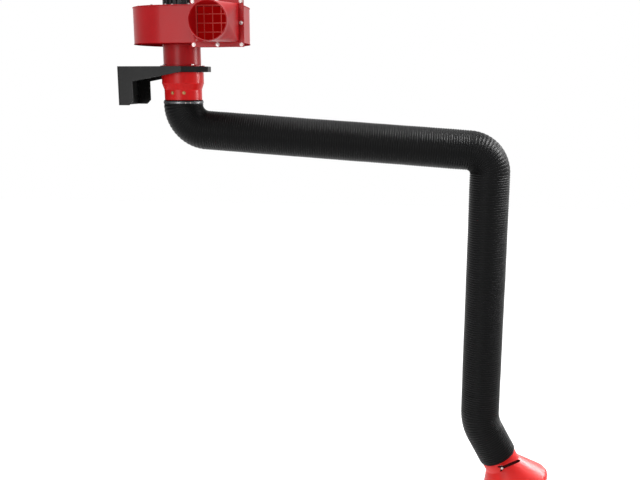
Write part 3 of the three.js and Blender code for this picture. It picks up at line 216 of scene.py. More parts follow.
# How two bodies share a bend: a direction in X and Z, and how far along it the change starts and ends
SHOULDER_BLEND = (towards((0, 0), -52, 1.0), 277, 396)
ELBOW_BLEND = (towards((0, 0), -45, 1.0), 1259, 1467)
WRIST_BLEND = ((0.2504, -0.9681), 1808, 2016)


# Materials
MIX_COLOURS = (6, 7)
MIX_RESULT = 2


def new_material(name, roughness, metallic=0.0, specular=0.5):
    material = bpy.data.materials.new(name)
    material.use_nodes = True
    tree = material.node_tree
    shader = tree.nodes["Principled BSDF"]
    shader.inputs["Roughness"].default_value = roughness
    shader.inputs["Metallic"].default_value = metallic
    shader.inputs["Specular IOR Level"].default_value = specular
    return material, tree, shader


def texture(tree, kind, output, **settings):
    """An output of a texture in the piece's own coordinates."""
    made = tree.nodes.new(kind)
    for key, value in settings.items():
        made.inputs[key].default_value = value
    place = tree.nodes.new("ShaderNodeTexCoord")
    tree.links.new(place.outputs["Object"], made.inputs["Vector"])
    return made.outputs[output]


def noise(tree, scale, detail):
    return texture(tree, "ShaderNodeTexNoise", "Fac", Scale=scale, Detail=detail)


def ranged(tree, source, low, high):
    made = tree.nodes.new("ShaderNodeMapRange")
    made.inputs["To Min"].default_value = low
    made.inputs["To Max"].default_value = high
    tree.links.new(source, made.inputs["Value"])
    return made.outputs["Result"]


def mixed(tree, share, *colours):
    """A blend of two colours, each a plain one or another node's output."""
    made = tree.nodes.new("ShaderNodeMix")
    made.data_type = "RGBA"
    tree.links.new(share, made.inputs["Factor"])
    for socket, colour in zip(MIX_COLOURS, colours):
        if isinstance(colour, tuple):
            made.inputs[socket].default_value = (*colour, 1)
        else:
            tree.links.new(colour, made.inputs[socket])
    return made.outputs[MIX_RESULT]


def bumped(tree, height, distance, strength, below=None):
    made = tree.nodes.new("ShaderNodeBump")
    made.inputs["Distance"].default_value = distance
    made.inputs["Strength"].default_value = strength
    tree.links.new(height, made.inputs["Height"])
    if below is not None:
        tree.links.new(below, made.inputs["Normal"])
    return made.outputs["Normal"]


def connect(tree, shader, colour, roughness, normal):
    for socket, source in (("Base Color", colour), ("Roughness", roughness), ("Normal", normal)):
        tree.links.new(source, shader.inputs[socket])


def powder_coat(name, colour, roughness, specular, peel=0.1, glow=0.0):
    """Painted sheet: slow colour drift, orange peel, a little dust and a patchy gloss, with an optional
    painted glow.
    """
    material, tree, shader = new_material(name, roughness, 0.0, specular)
    # Painted glow: when glow is set, the paint gives off its own colour as light, though it is no lamp.
    shader.inputs["Emission Color"].default_value = (*colour, 1)
    shader.inputs["Emission Strength"].default_value = glow
    dark = tuple(0.86 * c for c in colour)
    pale = tuple(min(1.0, 1.1 * c + 0.004) for c in colour)
    dusty = tuple(0.8 * c + 0.03 for c in colour)
    drift = noise(tree, 7.0, 4.0)
    speck = ranged(tree, noise(tree, 160.0, 6.0), -0.16, 0.2)
    paint = mixed(tree, speck, mixed(tree, drift, dark, pale), dusty)
    gloss = ranged(tree, drift, roughness - 0.06, roughness + 0.08)
    connect(tree, shader, paint, gloss, bumped(tree, noise(tree, 620.0, 2.0), 0.0002, peel))
    return material


def bare_metal(name, colour, roughness, spangle):
    """Plated or galvanised metal: crystal patches and fine scratches."""
    material, tree, shader = new_material(name, roughness, 1.0)
    cells = texture(tree, "ShaderNodeTexVoronoi", "Distance", Scale=spangle)
    grain = noise(tree, 900.0, 3.0)
    dark = tuple(0.72 * c for c in colour)
    patchy = mixed(tree, ranged(tree, cells, 0.0, 1.0), colour, dark)
    worn = ranged(tree, grain, roughness - 0.08, roughness + 0.14)
    connect(tree, shader, patchy, worn, bumped(tree, grain, 0.0001, 0.25))
    return material


def moulded(name, colour, roughness, grain_scale):
    """Plastic, rubber or a casting with a fine grain."""
    material, tree, shader = new_material(name, roughness, 0.0, 0.3)
    grain = noise(tree, grain_scale, 5.0)
    pale = tuple(1.5 * c + 0.002 for c in colour)
    uneven = mixed(tree, noise(tree, 12.0, 2.0), colour, pale)
    gloss = ranged(tree, grain, roughness - 0.1, roughness + 0.1)
    connect(tree, shader, uneven, gloss, bumped(tree, grain, 0.0003, 0.4))
    return material


def hose_fabric(name):
    """Coated woven fabric over a wire: smoother on the crests and lighter there, partly wear and partly a
    painted highlight.
    """
    material, tree, shader = new_material(name, 0.4, 0.0, 0.08)
    crest = tree.nodes.new("ShaderNodeAttribute")
    crest.attribute_name = "crest"
    uv = tree.nodes.new("ShaderNodeUVMap")
    weave = tree.nodes.new("ShaderNodeMath")
    weave.operation = "MULTIPLY"
    for i, direction in enumerate("XY"):
        wave = tree.nodes.new("ShaderNodeTexWave")
        wave.bands_direction = direction
        wave.inputs["Scale"].default_value = 260.0
        wave.inputs["Distortion"].default_value = 0.6
        tree.links.new(uv.outputs["UV"], wave.inputs["Vector"])
        tree.links.new(wave.outputs["Fac"], weave.inputs[i])
    patches = noise(tree, 26.0, 5.0)
    base = mixed(tree, patches, (0.0018, 0.0019, 0.002), (0.0032, 0.0033, 0.0035))
    # Lighter on the crests, partly wear and partly a painted highlight, so the valleys stay darker.
    worn = mixed(tree, ranged(tree, crest.outputs["Fac"], 0.0, 0.5), base, (0.0046, 0.0046, 0.0048))
    gloss = ranged(tree, crest.outputs["Fac"], 0.5, 0.36)
    fine = bumped(tree, weave.outputs["Value"], 0.0002, 0.35)
    connect(tree, shader, worn, gloss, bumped(tree, patches, 0.0008, 0.25, fine))
    return material


RED = powder_coat("red_powder_coat", (0.42, 0.0045, 0.008), 0.31, 0.17)
BRIGHT_RED = powder_coat("bright_red_paint", (0.66, 0.008, 0.0085), 0.3, 0.16)
HOOD_RED = powder_coat("hood_red_paint", (0.8, 0.011, 0.009), 0.4, 0.3)
# Painted glow: the faces inside the fan are a brighter red that gives off light of its own.
GLOWING_INNER_RED = powder_coat("inner_red_painted_glow", (0.8, 0.012, 0.014), 0.6, 0.03, glow=0.075)
# Painted glow: the spout's inside gives off its own red light.
GLOWING_SPOUT_RED = powder_coat("spout_red_painted_glow", (0.5, 0.008, 0.011), 0.6, 0.0, glow=0.16)
COVER_RED = powder_coat("cover_red_paint", (0.42, 0.0045, 0.008), 0.6, 0.015)
# Painted shade: a darker, matte copy of the fan's red for its underside.
SHADED_UNDER_RED = powder_coat("underside_painted_shade_red", (0.3, 0.004, 0.006), 0.6, 0.0)
# Painted highlight and glow: the guard wires are a paler red than the other paint, and give off light of
# their own.
GLOWING_GUARD_RED = powder_coat("guard_wire_painted_glow", (0.66, 0.09, 0.08), 0.4, 0.2, glow=0.15)
BLACK = powder_coat("black_powder_coat", (0.0045, 0.0046, 0.0046), 0.34, 0.13, 0.25)
MOTOR_BLACK = moulded("motor_casting", (0.013, 0.0145, 0.0155), 0.42, 420.0)
STEEL = bare_metal("zinc_plated_steel", (0.55, 0.49, 0.48), 0.36, 90.0)
PLATED = bare_metal("yellow_zinc_steel", (0.36, 0.2, 0.09), 0.32, 90.0)
DARK_STEEL = bare_metal("oiled_clamp_steel", (0.11, 0.11, 0.115), 0.26, 90.0)
GALVANISED = bare_metal("galvanised_sheet", (0.5, 0.52, 0.54), 0.42, 45.0)
PLASTIC = moulded("black_plastic", (0.008, 0.006, 0.006), 0.5, 700.0)
LEVER_PAINT = powder_coat("lever_maroon_paint", (0.026, 0.0006, 0.0008), 0.5, 0.03)
RUBBER = moulded("gasket_rubber", (0.008, 0.008, 0.008), 0.75, 500.0)
HOSE = hose_fabric("coated_hose_fabric")


# Meshes
def new_object(name, data):
    made = bpy.data.objects.new(name, data)
    bpy.context.scene.collection.objects.link(made)
    return made


def new_piece(name, data):
    """An object with the faces of a bmesh, which is used up."""
    mesh = bpy.data.meshes.new(name)
    data.to_mesh(mesh)
    data.free()
    return new_object(name, mesh)


def shade(mesh, sharp):
    """Smooth shading, apart from edges that turn more than the given degrees."""
    mesh.polygons.foreach_set("use_smooth", [True] * len(mesh.polygons))
    mesh.set_sharp_from_angle(angle=math.radians(sharp))


def finish_mesh(name, data, material, body, replaces, sharp=38.0):
    """Turns a bmesh in millimetres into a piece, which rides on a CAD body if one is named."""
    bmesh.ops.remove_doubles(data, verts=data.verts, dist=0.002)
    bmesh.ops.recalc_face_normals(data, faces=data.faces)
    bmesh.ops.scale(data, vec=(MM, MM, MM), verts=data.verts)
    piece = new_piece(name, data)
    piece.data.materials.append(material)
    shade(piece.data, sharp)
    even = piece.modifiers.new("even_normals", "WEIGHTED_NORMAL")
    even.keep_sharp = True
    if body:
        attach(piece, body)
    if replaces:
        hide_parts(*replaces)
    return piece


def paint_inside(piece, material, middle, along=(0, 0, 0)):
    """Gives a second paint to the faces that look towards a point, or towards a line through it."""
    piece.data.materials.append(material)
    middle, along = Vector(middle) * MM, Vector(along)
    for face in piece.data.polygons:
        away = face.center - middle
        away -= along * away.dot(along)
        if face.normal.dot(away) < 0:
            face.material_index = 1


def rounded(points, radius, steps=3, closed=True):
    """The outline with each corner turned into a short arc."""
    points = [Vector(p) for p in points]
    count = len(points)
    result = []
    for i, here in enumerate(points):
        if not closed and i in (0, count - 1):
            result.append(here)
            continue
        before, after = points[i - 1] - here, points[(i + 1) % count] - here
        a, b = before.normalized(), after.normalized()
        angle = a.angle(b)
        if angle > math.pi - 0.02 or angle < 0.02:
            result.append(here)
            continue
        reach = min(radius / math.tan(angle / 2), 0.45 * before.length, 0.45 * after.length)
        centre = here + (a + b).normalized() * (reach / math.cos(angle / 2))
        start, end = here + a * reach - centre, here + b * reach - centre
        sweep = start.angle(end)
        for k in range(steps + 1):
            share = k / steps
            mix = start * math.sin((1 - share) * sweep) + end * math.sin(share * sweep)
            result.append(centre + mix / math.sin(sweep))
    return result


def profile_of(points, radius):
    """The outline with rounded corners, as plain pairs for the lathe."""
    return [(p.x, p.y) for p in rounded(points, radius)]


def loop_tube(loops, closed=True):
    """A bmesh of quads between equal loops, with the last joined to the first or with a cap on both."""
    data = bmesh.new()
    rows = [[data.verts.new(p) for p in loop] for loop in loops]
    for first, second in zip(rows, rows[1:] + rows[:1] if closed else rows[1:]):
        for j in range(len(first)):
            k = (j + 1) % len(first)
            data.faces.new((first[j], first[k], second[k], second[j]))
    if not closed:
        data.faces.new(rows[0][::-1])
        data.faces.new(rows[-1])
    return data


def lathe(profile, place=Matrix(), sides=72):
    """A bmesh turned about its own Z axis from a closed profile of (radius, height)."""
    loops = []
    for radius, height in profile:
        loops.append([place @ Vector((
            max(radius, 0.0) * math.cos(2 * math.pi * i / sides),
            max(radius, 0.0) * math.sin(2 * math.pi * i / sides),
            height)) for i in range(sides)])
    data = loop_tube(loops)
    bmesh.ops.remove_doubles(data, verts=data.verts, dist=0.002)
    bmesh.ops.dissolve_degenerate(data, edges=data.edges, dist=0.001)
    return data


def plate(outline, low, high, edge=0.6, place=Matrix()):
    """A bmesh of a flat plate with softened edges, drawn in X and Y and standing from low to high."""
    rim = [Vector(p) for p in outline]
    area = sum(a.x * b.y - b.x * a.y for a, b in zip(rim, rim[1:] + rim[:1]))
    if area < 0:
        rim.reverse()
    inward = []
    for before, here, after in zip(rim[-1:] + rim[:-1], rim, rim[1:] + rim[:1]):
        side = (after - here).normalized()
        along = (side + (here - before).normalized()).normalized()
        normal = Vector((-along.y, along.x))
        inward.append(normal / max(0.4, normal.dot(Vector((-side.y, side.x)))))
    levels = [(edge, low), (0.3 * edge, low + 0.3 * edge), (0, low + edge),
              (0, high - edge), (0.3 * edge, high - 0.3 * edge), (edge, high)]
    data = loop_tube([[place @ Vector((*(p + n * inset), z)) for p, n in zip(rim, inward)]
                      for inset, z in levels], False)
    bmesh.ops.triangulate(data, faces=[f for f in data.faces if len(f.verts) > 4])
    return data


def bevelled(data, width):
    """Rounds the sharp edges of a bmesh in place."""
    sharp = math.radians(30)
    edges = [e for e in data.edges if len(e.link_faces) == 2 and e.calc_face_angle(0) > sharp]
    bmesh.ops.bevel(data, geom=edges, offset=width, segments=2, profile=0.5,
                    affect="EDGES", clamp_overlap=True)


def block(low, high, width=1.0, place=Matrix()):
    """A bmesh box with rounded edges."""
    data = bmesh.new()
    bmesh.ops.create_cube(data, size=1.0)
    low, high = Vector(low), Vector(high)
    for v in data.verts:
        v.co = Vector((low[i] + (v.co[i] + 0.5) * (high[i] - low[i]) for i in range(3)))
    bevelled(data, width)
    bmesh.ops.transform(data, matrix=place, verts=data.verts)
    return data


def merged(*parts):
    """One bmesh with all the parts' faces."""
    whole = parts[0]
    for part in parts[1:]:
        scratch = bpy.data.meshes.new("scratch")
        part.to_mesh(scratch)
        part.free()
        whole.from_mesh(scratch)
        bpy.data.meshes.remove(scratch)
    return whole


def softened(node, name, material, width):
    """A copy of a CAD node with its flat faces joined and its edges rounded, in the node's place."""
    data = bmesh.new()
    data.from_mesh(NODES[node].data)
    bmesh.ops.scale(data, vec=(1 / MM, 1 / MM, 1 / MM), verts=data.verts)
    bmesh.ops.remove_doubles(data, verts=data.verts, dist=0.01)
    bmesh.ops.dissolve_limit(data, angle_limit=math.radians(1), verts=data.verts, edges=data.edges)
    bevelled(data, width)
    return finish_mesh(name, data, material, NODES[node]["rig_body"], (node,))


def hexagon(radius):
    corners = [math.pi * i / 3 for i in range(6)]
    return [Vector((radius * math.cos(a), radius * math.sin(a))) for a in corners]


def bolt_head(place, radius, height, washer):
    """A hexagon head with a crowned top on a round washer. Its foot is at the place's origin."""
    crown = [(0, height), (0.55 * radius, height), (0.84 * radius, 0.86 * height),
             (0.84 * radius, 0.6 * height), (0, 0.6 * height)]
    ring = [(0, 0), (washer, 0), (washer, 0.22 * height), (0, 0.22 * height)]
    return merged(plate(hexagon(radius), 0.2 * height, 0.9 * height, 0.08 * radius, place),
                  lathe(crown, place, 24),
                  lathe(profile_of(ring, 0.05 * height), place, 28))


def bolt_circle(radius, z, turn, *head):
    """Four bolt heads round the fan's axis, each turned a little further than the one before."""
    for i in range(4):
        angle = math.radians(45 + 90 * i)
        spot = (AXIS_X + radius * math.cos(angle), radius * math.sin(angle), z)
        yield bolt_head(Matrix.Translation(spot) @ Matrix.Rotation(turn * i, 4, "Z"), *head)


def facing(origin, direction):
    """Puts a local +Z along a direction, with its foot at the origin."""
    return Matrix.Translation(Vector(origin)) @ Vector(direction).to_track_quat("Z", "Y").to_matrix().to_4x4()


def rod(start, end, radius, sides=12):
    """A bmesh of a round bar with softened ends."""
    start, end = Vector(start), Vector(end)
    place = facing(start, end - start)
    length = (end - start).length
    return lathe(profile_of([(0, 0), (radius, 0), (radius, length), (0, length)], 0.3 * radius), place, sides)


# Hose and spring
class BentLine:
    """A line in X and Z that runs straight to a corner, round it with a given radius, and straight on."""

    def __init__(self, start, corner, end, radius):
        self.start, corner, end = Vector(start), Vector(corner), Vector(end)
        self.into = (corner - self.start).normalized()
        self.out = (end - corner).normalized()
        cross = self.into.x * self.out.y - self.into.y * self.out.x
        self.turn = math.atan2(cross, self.into.dot(self.out))
        self.radius = radius
        tangent = radius * math.tan(abs(self.turn) / 2)
        self.bend = corner - self.into * tangent
        self.run_in = (corner - self.start).length - tangent
        self.arc = radius * abs(self.turn)
        self.total = self.run_in + self.arc + (end - corner).length - tangent

    def at(self, distance):
        """The point there, the heading, and how sharply the line turns, in radians a millimetre."""
        along = min(max(distance - self.run_in, 0.0), self.arc)
        angle = math.copysign(along / self.radius, self.turn)
        chord = 2 * self.radius * math.sin(abs(angle) / 2)
        heading = Matrix.Rotation(angle, 2) @ self.into
        point = self.bend + (Matrix.Rotation(angle / 2, 2) @ self.into) * chord
        if distance < self.run_in:
            point = self.start + self.into * distance
        if distance > self.run_in + self.arc:
            point = point + self.out * (distance - self.run_in - self.arc)
        bent = self.turn / self.arc if 0 < distance - self.run_in < self.arc else 0.0
        return point, heading, bent


def hose_lines():
    upper_start = towards(SHOULDER, UPPER_DEG, REACH)
    upper_end = towards(ELBOW, UPPER_DEG, -REACH)
    lower_start = towards(ELBOW, LOWER_DEG, REACH)
    lower_end = towards(WRIST, LOWER_DEG, -WRIST_REACH)
    tail = towards(WRIST, HOOD_DEG, HOSE_TAIL)
    straight = lambda a, b: BentLine(a, ((a[0] + b[0]) / 2, (a[1] + b[1]) / 2), b, 1.0)
    return {
        "shoulder_hose": BentLine((AXIS_X, HOSE_TOP), SHOULDER, upper_start, SHOULDER_BEND_R),
        "upper_hose": straight(upper_start, upper_end),
        "elbow_hose": BentLine(upper_end, ELBOW, lower_start, ELBOW_BEND_R),
        "lower_hose": straight(lower_start, lower_end),
        "wrist_hose": BentLine(lower_end, WRIST, tail, WRIST_BEND_R),
    }


def end_share(s, total):
    """0 along the hose, rising to 1 over its last stretch, which is drawn in onto the ring in its end."""
    return np.clip((s - (total - HOSE_END)) / HOSE_END, 0, 1)


def hose_radius(s, total, bent, angles, pitch):
    """Radius and crest share round the hose, a distance s along it. One wire winds along the whole length."""
    phase = s / pitch - angles / (2 * math.pi)
    crest = np.abs(np.cos(math.pi * phase)) ** 0.8
    inner = np.cos(angles) * bent * 100.0
    depth = np.clip(RIB_DEPTH + 1.2 * inner, *RIB_DEPTH_RANGE)
    slack = 0.35 * math.sin(s / 61.0) + 0.3 * math.sin(s / 23.0 + 1.3)
    sag = 0.3 * np.sin(3 * angles + s / 140.0)
    radius = HOSE_R + HOSE_CREST - depth * (1 - crest) + slack * 0.6 + sag
    clamped = np.clip((s - PINCHED[0]) / 3.0, 0, 1) * np.clip((PINCHED[1] - s) / 4.0, 0, 1)
    radius = radius + clamped * (HOSE_R - CLAMP_PINCH - radius)
    return radius - HOSE_END_DROP * end_share(s, total) ** 2.4, crest


def hose_ring(point, heading, radius, angles):
    """Points round the hose, square to its heading, with a radius for each angle."""
    side = np.stack([-heading.y * np.cos(angles), -np.sin(angles), heading.x * np.cos(angles)], 1)
    return np.array([point.x, 0.0, point.y]) + side * radius[:, None]


def build_hose():
    """The five runs of the hose, each a ribbed skin outside and a plain bore inside."""
    lines = hose_lines()
    total = sum(line.total for line in lines.values())
    pitch = total / round(total / RIB_PITCH)
    angles = 2 * math.pi * np.arange(HOSE_SIDES) / HOSE_SIDES
    pieces = {}
    done = 0.0
    for name, line in lines.items():
        steps = max(4, round(line.total / pitch * RIB_RINGS))
        loops, crests, along = [], [], []
        for i in range(steps + 1):
            distance = line.total * i / steps
            point, heading, bent = line.at(distance)
            radius, crest = hose_radius(done + distance, total, bent, angles, pitch)
            loops.append(hose_ring(point, heading, radius, angles))
            crests.append(crest)
            along.append(done + distance)
        for i in [*range(steps, 0, -RIB_RINGS), 0]:
            distance = line.total * i / steps
            point, heading, _ = line.at(distance)
            bore = HOSE_BORE_R - BORE_END_DROP * end_share(done + distance, total)
            loops.append(hose_ring(point, heading, np.full(HOSE_SIDES, bore), angles))
            crests.append(np.zeros(HOSE_SIDES))
            along.append(done + distance)
        pieces[name] = hose_mesh(name, loops, crests, along)
        done += line.total
    return pieces


def hose_mesh(node, loops, crests, along):
    """A closed skin through the rings, with the crest share at its points and UVs in metres."""
    shape = (len(loops), HOSE_SIDES)
    index = np.arange(shape[0] * shape[1]).reshape(shape)
    following = np.roll(index, -1, axis=0)
    quads = np.stack([index, np.roll(index, -1, axis=1), np.roll(following, -1, axis=1), following], 2)
    mesh = bpy.data.meshes.new(node + "_ribbed")
    mesh.from_pydata((np.concatenate(loops) * MM).tolist(), [], quads.reshape(-1, 4)[:, ::-1].tolist())
    mesh.polygons.foreach_set("use_smooth", [True] * len(mesh.polygons))
    share = mesh.attributes.new("crest", "FLOAT", "POINT")
    share.data.foreach_set("value", np.concatenate(crests).astype(np.float32))
    layer = mesh.uv_layers.new(name="UVMap")
    around = 2 * math.pi * HOSE_R * MM / HOSE_SIDES
    step = np.broadcast_to(np.arange(HOSE_SIDES) * around, shape)
    lengths = np.broadcast_to(np.array(along)[:, None] * MM, shape)
    corner = np.zeros((*shape, 4, 2))
    corner[:, :, 0] = np.stack([step, np.roll(lengths, -1, axis=0)], 2)
    corner[:, :, 1] = corner[:, :, 0] + (around, 0)
    corner[:, :, 3] = np.stack([step, lengths], 2)
    corner[:, :, 2] = corner[:, :, 3] + (around, 0)
    layer.uv.foreach_set("vector", corner.reshape(-1))
    mesh.materials.append(HOSE)
    piece = new_object(node + "_ribbed", mesh)
    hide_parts(node)
    return piece


def blend_along(piece, first, second, direction, low, high):
    """Bakes a hose's placement into its mesh and works out where its bend would start and end along a
    direction in X and Z; it bends nothing, and the two bodies it is given are not used.
    """
    start, end = ((direction[0] * p * MM, 0.0, direction[1] * p * MM) for p in (low, high))
    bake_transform(piece)
    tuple(start)
    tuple(end)


def add_hose():
    hose = build_hose()
    blend_along(hose["shoulder_hose"], "swivel", "upper_arm", *SHOULDER_BLEND)
    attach(hose["upper_hose"], "upper_arm")
    blend_along(hose["elbow_hose"], "upper_arm", "lower_arm", *ELBOW_BLEND)
    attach(hose["lower_hose"], "lower_arm")
    blend_along(hose["wrist_hose"], "lower_arm", "wrist", *WRIST_BLEND)


def add_spring():
    """The balance spring, wound from a lug on the yoke to a lug on the tube as they stand at rest."""
    start = Vector((SHOULDER[0] + SPRING_FOOT[0], 0, SHOULDER[1] + SPRING_FOOT[1]))
    end_x, end_z = towards(towards(SHOULDER, UPPER_DEG, SPRING_REACH), UPPER_DEG + 90, SPRING_RISE)
    end = Vector((end_x, 0, end_z))
    along = (end - start).normalized()
    length = (end - start).length
    place = facing(start, along)
    low, high = SPRING_END, length - SPRING_END
    steps, sides = 14, 6
    loops = []
    for i in range(SPRING_TURNS * steps + 1):
        angle = 2 * math.pi * i / steps
        height = low + (high - low) * i / (SPRING_TURNS * steps)
        loop = []
        for k in range(sides):
            out = COIL_R + COIL_WIRE_R * math.cos(2 * math.pi * k / sides)
            up = height + COIL_WIRE_R * math.sin(2 * math.pi * k / sides)
            loop.append(place @ Vector((out * math.cos(angle), out * math.sin(angle), up)))
        loops.append(loop)
    coil = loop_tube(loops, False)
    cup, wire = COIL_R + COIL_WIRE_R, 2.4
    bars = ((5.6, low, wire), (low - 3, low, cup), (high, high + 3, cup), (high, length - 0.8, wire))
    ends = [rod(start + along * a, start + along * b, radius) for a, b, radius in bars]
    piece = finish_mesh("spring_wound", merged(coil, *ends), GALVANISED, None,
                        ("balance_spring",))
    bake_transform(piece)


# Bracket, duct and collar
def add_bracket():
    softened("wall_bracket", "bracket_folded", BLACK, 1.1)
    softened("wall_plate", "wall_plate_edged", BLACK, 0.8)


def add_duct():
    outline = [(DUCT_BORE_R, DUCT_LOW), (DUCT_FLANGE_R, DUCT_LOW), (DUCT_FLANGE_R, DUCT_FLANGE_TOP),
               (DUCT_R + 2.2, DUCT_FLANGE_TOP), (DUCT_R, DUCT_FLANGE_TOP + 2.2), (DUCT_R, DUCT_TOP - 2.6),
               (DUCT_R + 2.4, DUCT_TOP), (DUCT_BORE_R, DUCT_TOP)]
    finish_mesh("duct_welded", lathe(profile_of(outline, 0.7), FAN_AXIS, 96), RED, "base",
                ("inlet_duct",))
    for i, head in enumerate(bolt_circle(BOLT_PITCH_R, DUCT_FLANGE_TOP, 0.4, 6.5, 5.6, 7.4), 1):
        finish_mesh(f"flange_bolt_{i}", head, STEEL, "base", (f"ring_bolt_{i}",))


def add_collar():
    wall = COLLAR_WALL
    outline = [(SPIGOT_R - wall, SPIGOT_LOW), (SPIGOT_R, SPIGOT_LOW), (SPIGOT_R, COLLAR_LOW + 0.2),
               (COLLAR_NECK_R - 1.5, COLLAR_LOW + 0.2), (COLLAR_NECK_R, COLLAR_LOW + 2.0),
               (COLLAR_NECK_R, COLLAR_NECK_Z), (COLLAR_R - 0.8, COLLAR_STEP_Z - 2.0),
               (COLLAR_R + 0.5, COLLAR_STEP_Z), (COLLAR_R, COLLAR_STEP_Z + 2.0),
               (COLLAR_R, COLLAR_TOP - 0.3), (COLLAR_R - wall, COLLAR_TOP - 0.3),
               (COLLAR_R - wall, COLLAR_STEP_Z), (COLLAR_NECK_R - wall, COLLAR_NECK_Z),
               (COLLAR_NECK_R - wall, COLLAR_LOW + wall), (SPIGOT_R - wall, COLLAR_LOW + wall)]
    finish_mesh("collar_spun", lathe(profile_of(outline, 1.0), FAN_AXIS, 96), BRIGHT_RED, "swivel",
                ("swivel_collar",))
    for i, side in enumerate((-COLLAR_SCREW_X, COLLAR_SCREW_X), 1):
        y = -math.sqrt(COLLAR_NECK_R ** 2 - side ** 2)
        outward = Vector((side, y, 0)).normalized()
        foot = Vector((AXIS_X + side, y, COLLAR_SCREW_Z)) - outward * 0.4
        head = bolt_head(facing(foot, outward), 6.0, 5.2, 7.6)
        finish_mesh(f"collar_screw_{i}", head, PLATED, "swivel", (f"yoke_screw_{i}",))


def add_clamp():
    axis = FAN_AXIS @ Matrix.Rotation(math.radians(CLAMP_ANGLE), 4, "Z")
    low, high = CLAMP_TOP - CLAMP_W, CLAMP_TOP
    middle = (low + high) / 2
    band = [(CLAMP_R - 0.4, low), (CLAMP_R + 1.5, low), (CLAMP_R + 1.1, low + 1.2),
            (CLAMP_R + 1.1, high - 1.2), (CLAMP_R + 1.5, high), (CLAMP_R - 0.4, high)]
    parts = [lathe(profile_of(band, 0.4), axis, 96)]
    rise = CLAMP_R + 1.0
    parts.append(block((rise, -8, low + 0.4), (rise + 7.2, 8, high - 0.4), 1.6, axis))
    for i in range(9):
        angle = math.radians(9 + 2.6 * i)
        tilt = axis @ Matrix.Rotation(angle, 4, "Z")
        parts.append(block((CLAMP_R + 0.9, -0.9, low + 3.0), (CLAMP_R + 1.5, 0.9, high - 3.0), 0.25, tilt))
    finish_mesh("clamp_band", merged(*parts), DARK_STEEL, "swivel", ("hose_clamp",))
    screw_axis = axis @ Matrix.Translation((rise + 3.6, 0, middle)) @ Matrix.Rotation(math.pi / 2, 4, "X")
    shank = lathe(profile_of([(0, -13), (2.7, -13), (2.7, 9.5), (0, 9.5)], 0.5), screw_axis, 24)
    head = plate(hexagon(3.9), 9.0, 13.4, 0.5, screw_axis)
    finish_mesh("clamp_screw_slotted", merged(shank, head), STEEL, "swivel", ("clamp_screw",))


# Volute and outlet
def scroll_path(inset, front, steps=32):
    """The volute's outline from the outlet's left side round to its right side, drawn in by inset."""
    x, y = SCROLL_ARC_CENTRE
    side, rear = SCROLL_SIDE_STEP, SCROLL_REAR_STEP
    quarters = ((x, y, SCROLL_ARC_R), (x + side, y, SCROLL_ARC_R + side),
                (x + side, y - rear, SCROLL_ARC_R + side + rear))
    points = [(OUTLET_LEFT + inset, front), (OUTLET_LEFT + inset, SCROLL_FRONT + inset),
              (x, SCROLL_FRONT + inset)]
    for quarter, (centre_x, centre_y, radius) in enumerate(quarters):
        for i in range(1, steps + 1):
            angle = -math.pi / 2 * (1 + quarter + i / steps)
            reach = radius - inset
            points.append((centre_x + reach * math.cos(angle), centre_y + reach * math.sin(angle)))
    points.append((OUTLET_RIGHT - inset, front))
    return points


def scroll_wall():
    """The rolled side sheet, from the floor to the cover, with rounded long edges."""
    outer = rounded(scroll_path(0, OUTLET_FRONT), 4.0, 4, False)
    inner = rounded(scroll_path(SHEET, OUTLET_FRONT), 2.0, 4, False)
    soft = 0.6
    sections = []
    for a, b in zip(outer, inner):
        edge = (b - a).normalized() * soft
        sections.append([(*p, z) for p, z in (
            (a + edge, SCROLL_LOW), (a, SCROLL_LOW + soft), (a, SCROLL_TOP - soft),
            (a + edge, SCROLL_TOP), (b, SCROLL_TOP), (b, SCROLL_LOW))])
    return loop_tube(sections, False)


def holed_plate(outline, radius, low, high, edge):
    """A bmesh plate with a round hole on the fan's axis. Its outline is seen from the axis without folds."""
    rim = [Vector(p) for p in outline]
    hole = []
    for p in rim:
        d = (p - Vector((AXIS_X, 0))).normalized()
        hole.append(Vector((AXIS_X, 0)) + d * radius)
    levels = []
    for inset, z in ((edge, low), (0.0, low + edge), (0.0, high - edge), (edge, high)):
        levels.append([(*(p + (h - p).normalized() * inset), z) for p, h in zip(rim, hole)])
    levels.append([(*h, high) for h in hole])
    levels.append([(*h, low) for h in hole])
    return loop_tube(levels)


def closed_scroll(front, overhang):
    """The volute's whole outline with many points, for the flat plates above and below."""
    points = [Vector(p) for p in scroll_path(-overhang, front)]
    dense = []
    for a, b in zip(points, points[1:] + points[:1]):
        parts = max(1, int((b - a).length / 12))
        dense.extend(a.lerp(b, i / parts) for i in range(parts))
    return dense


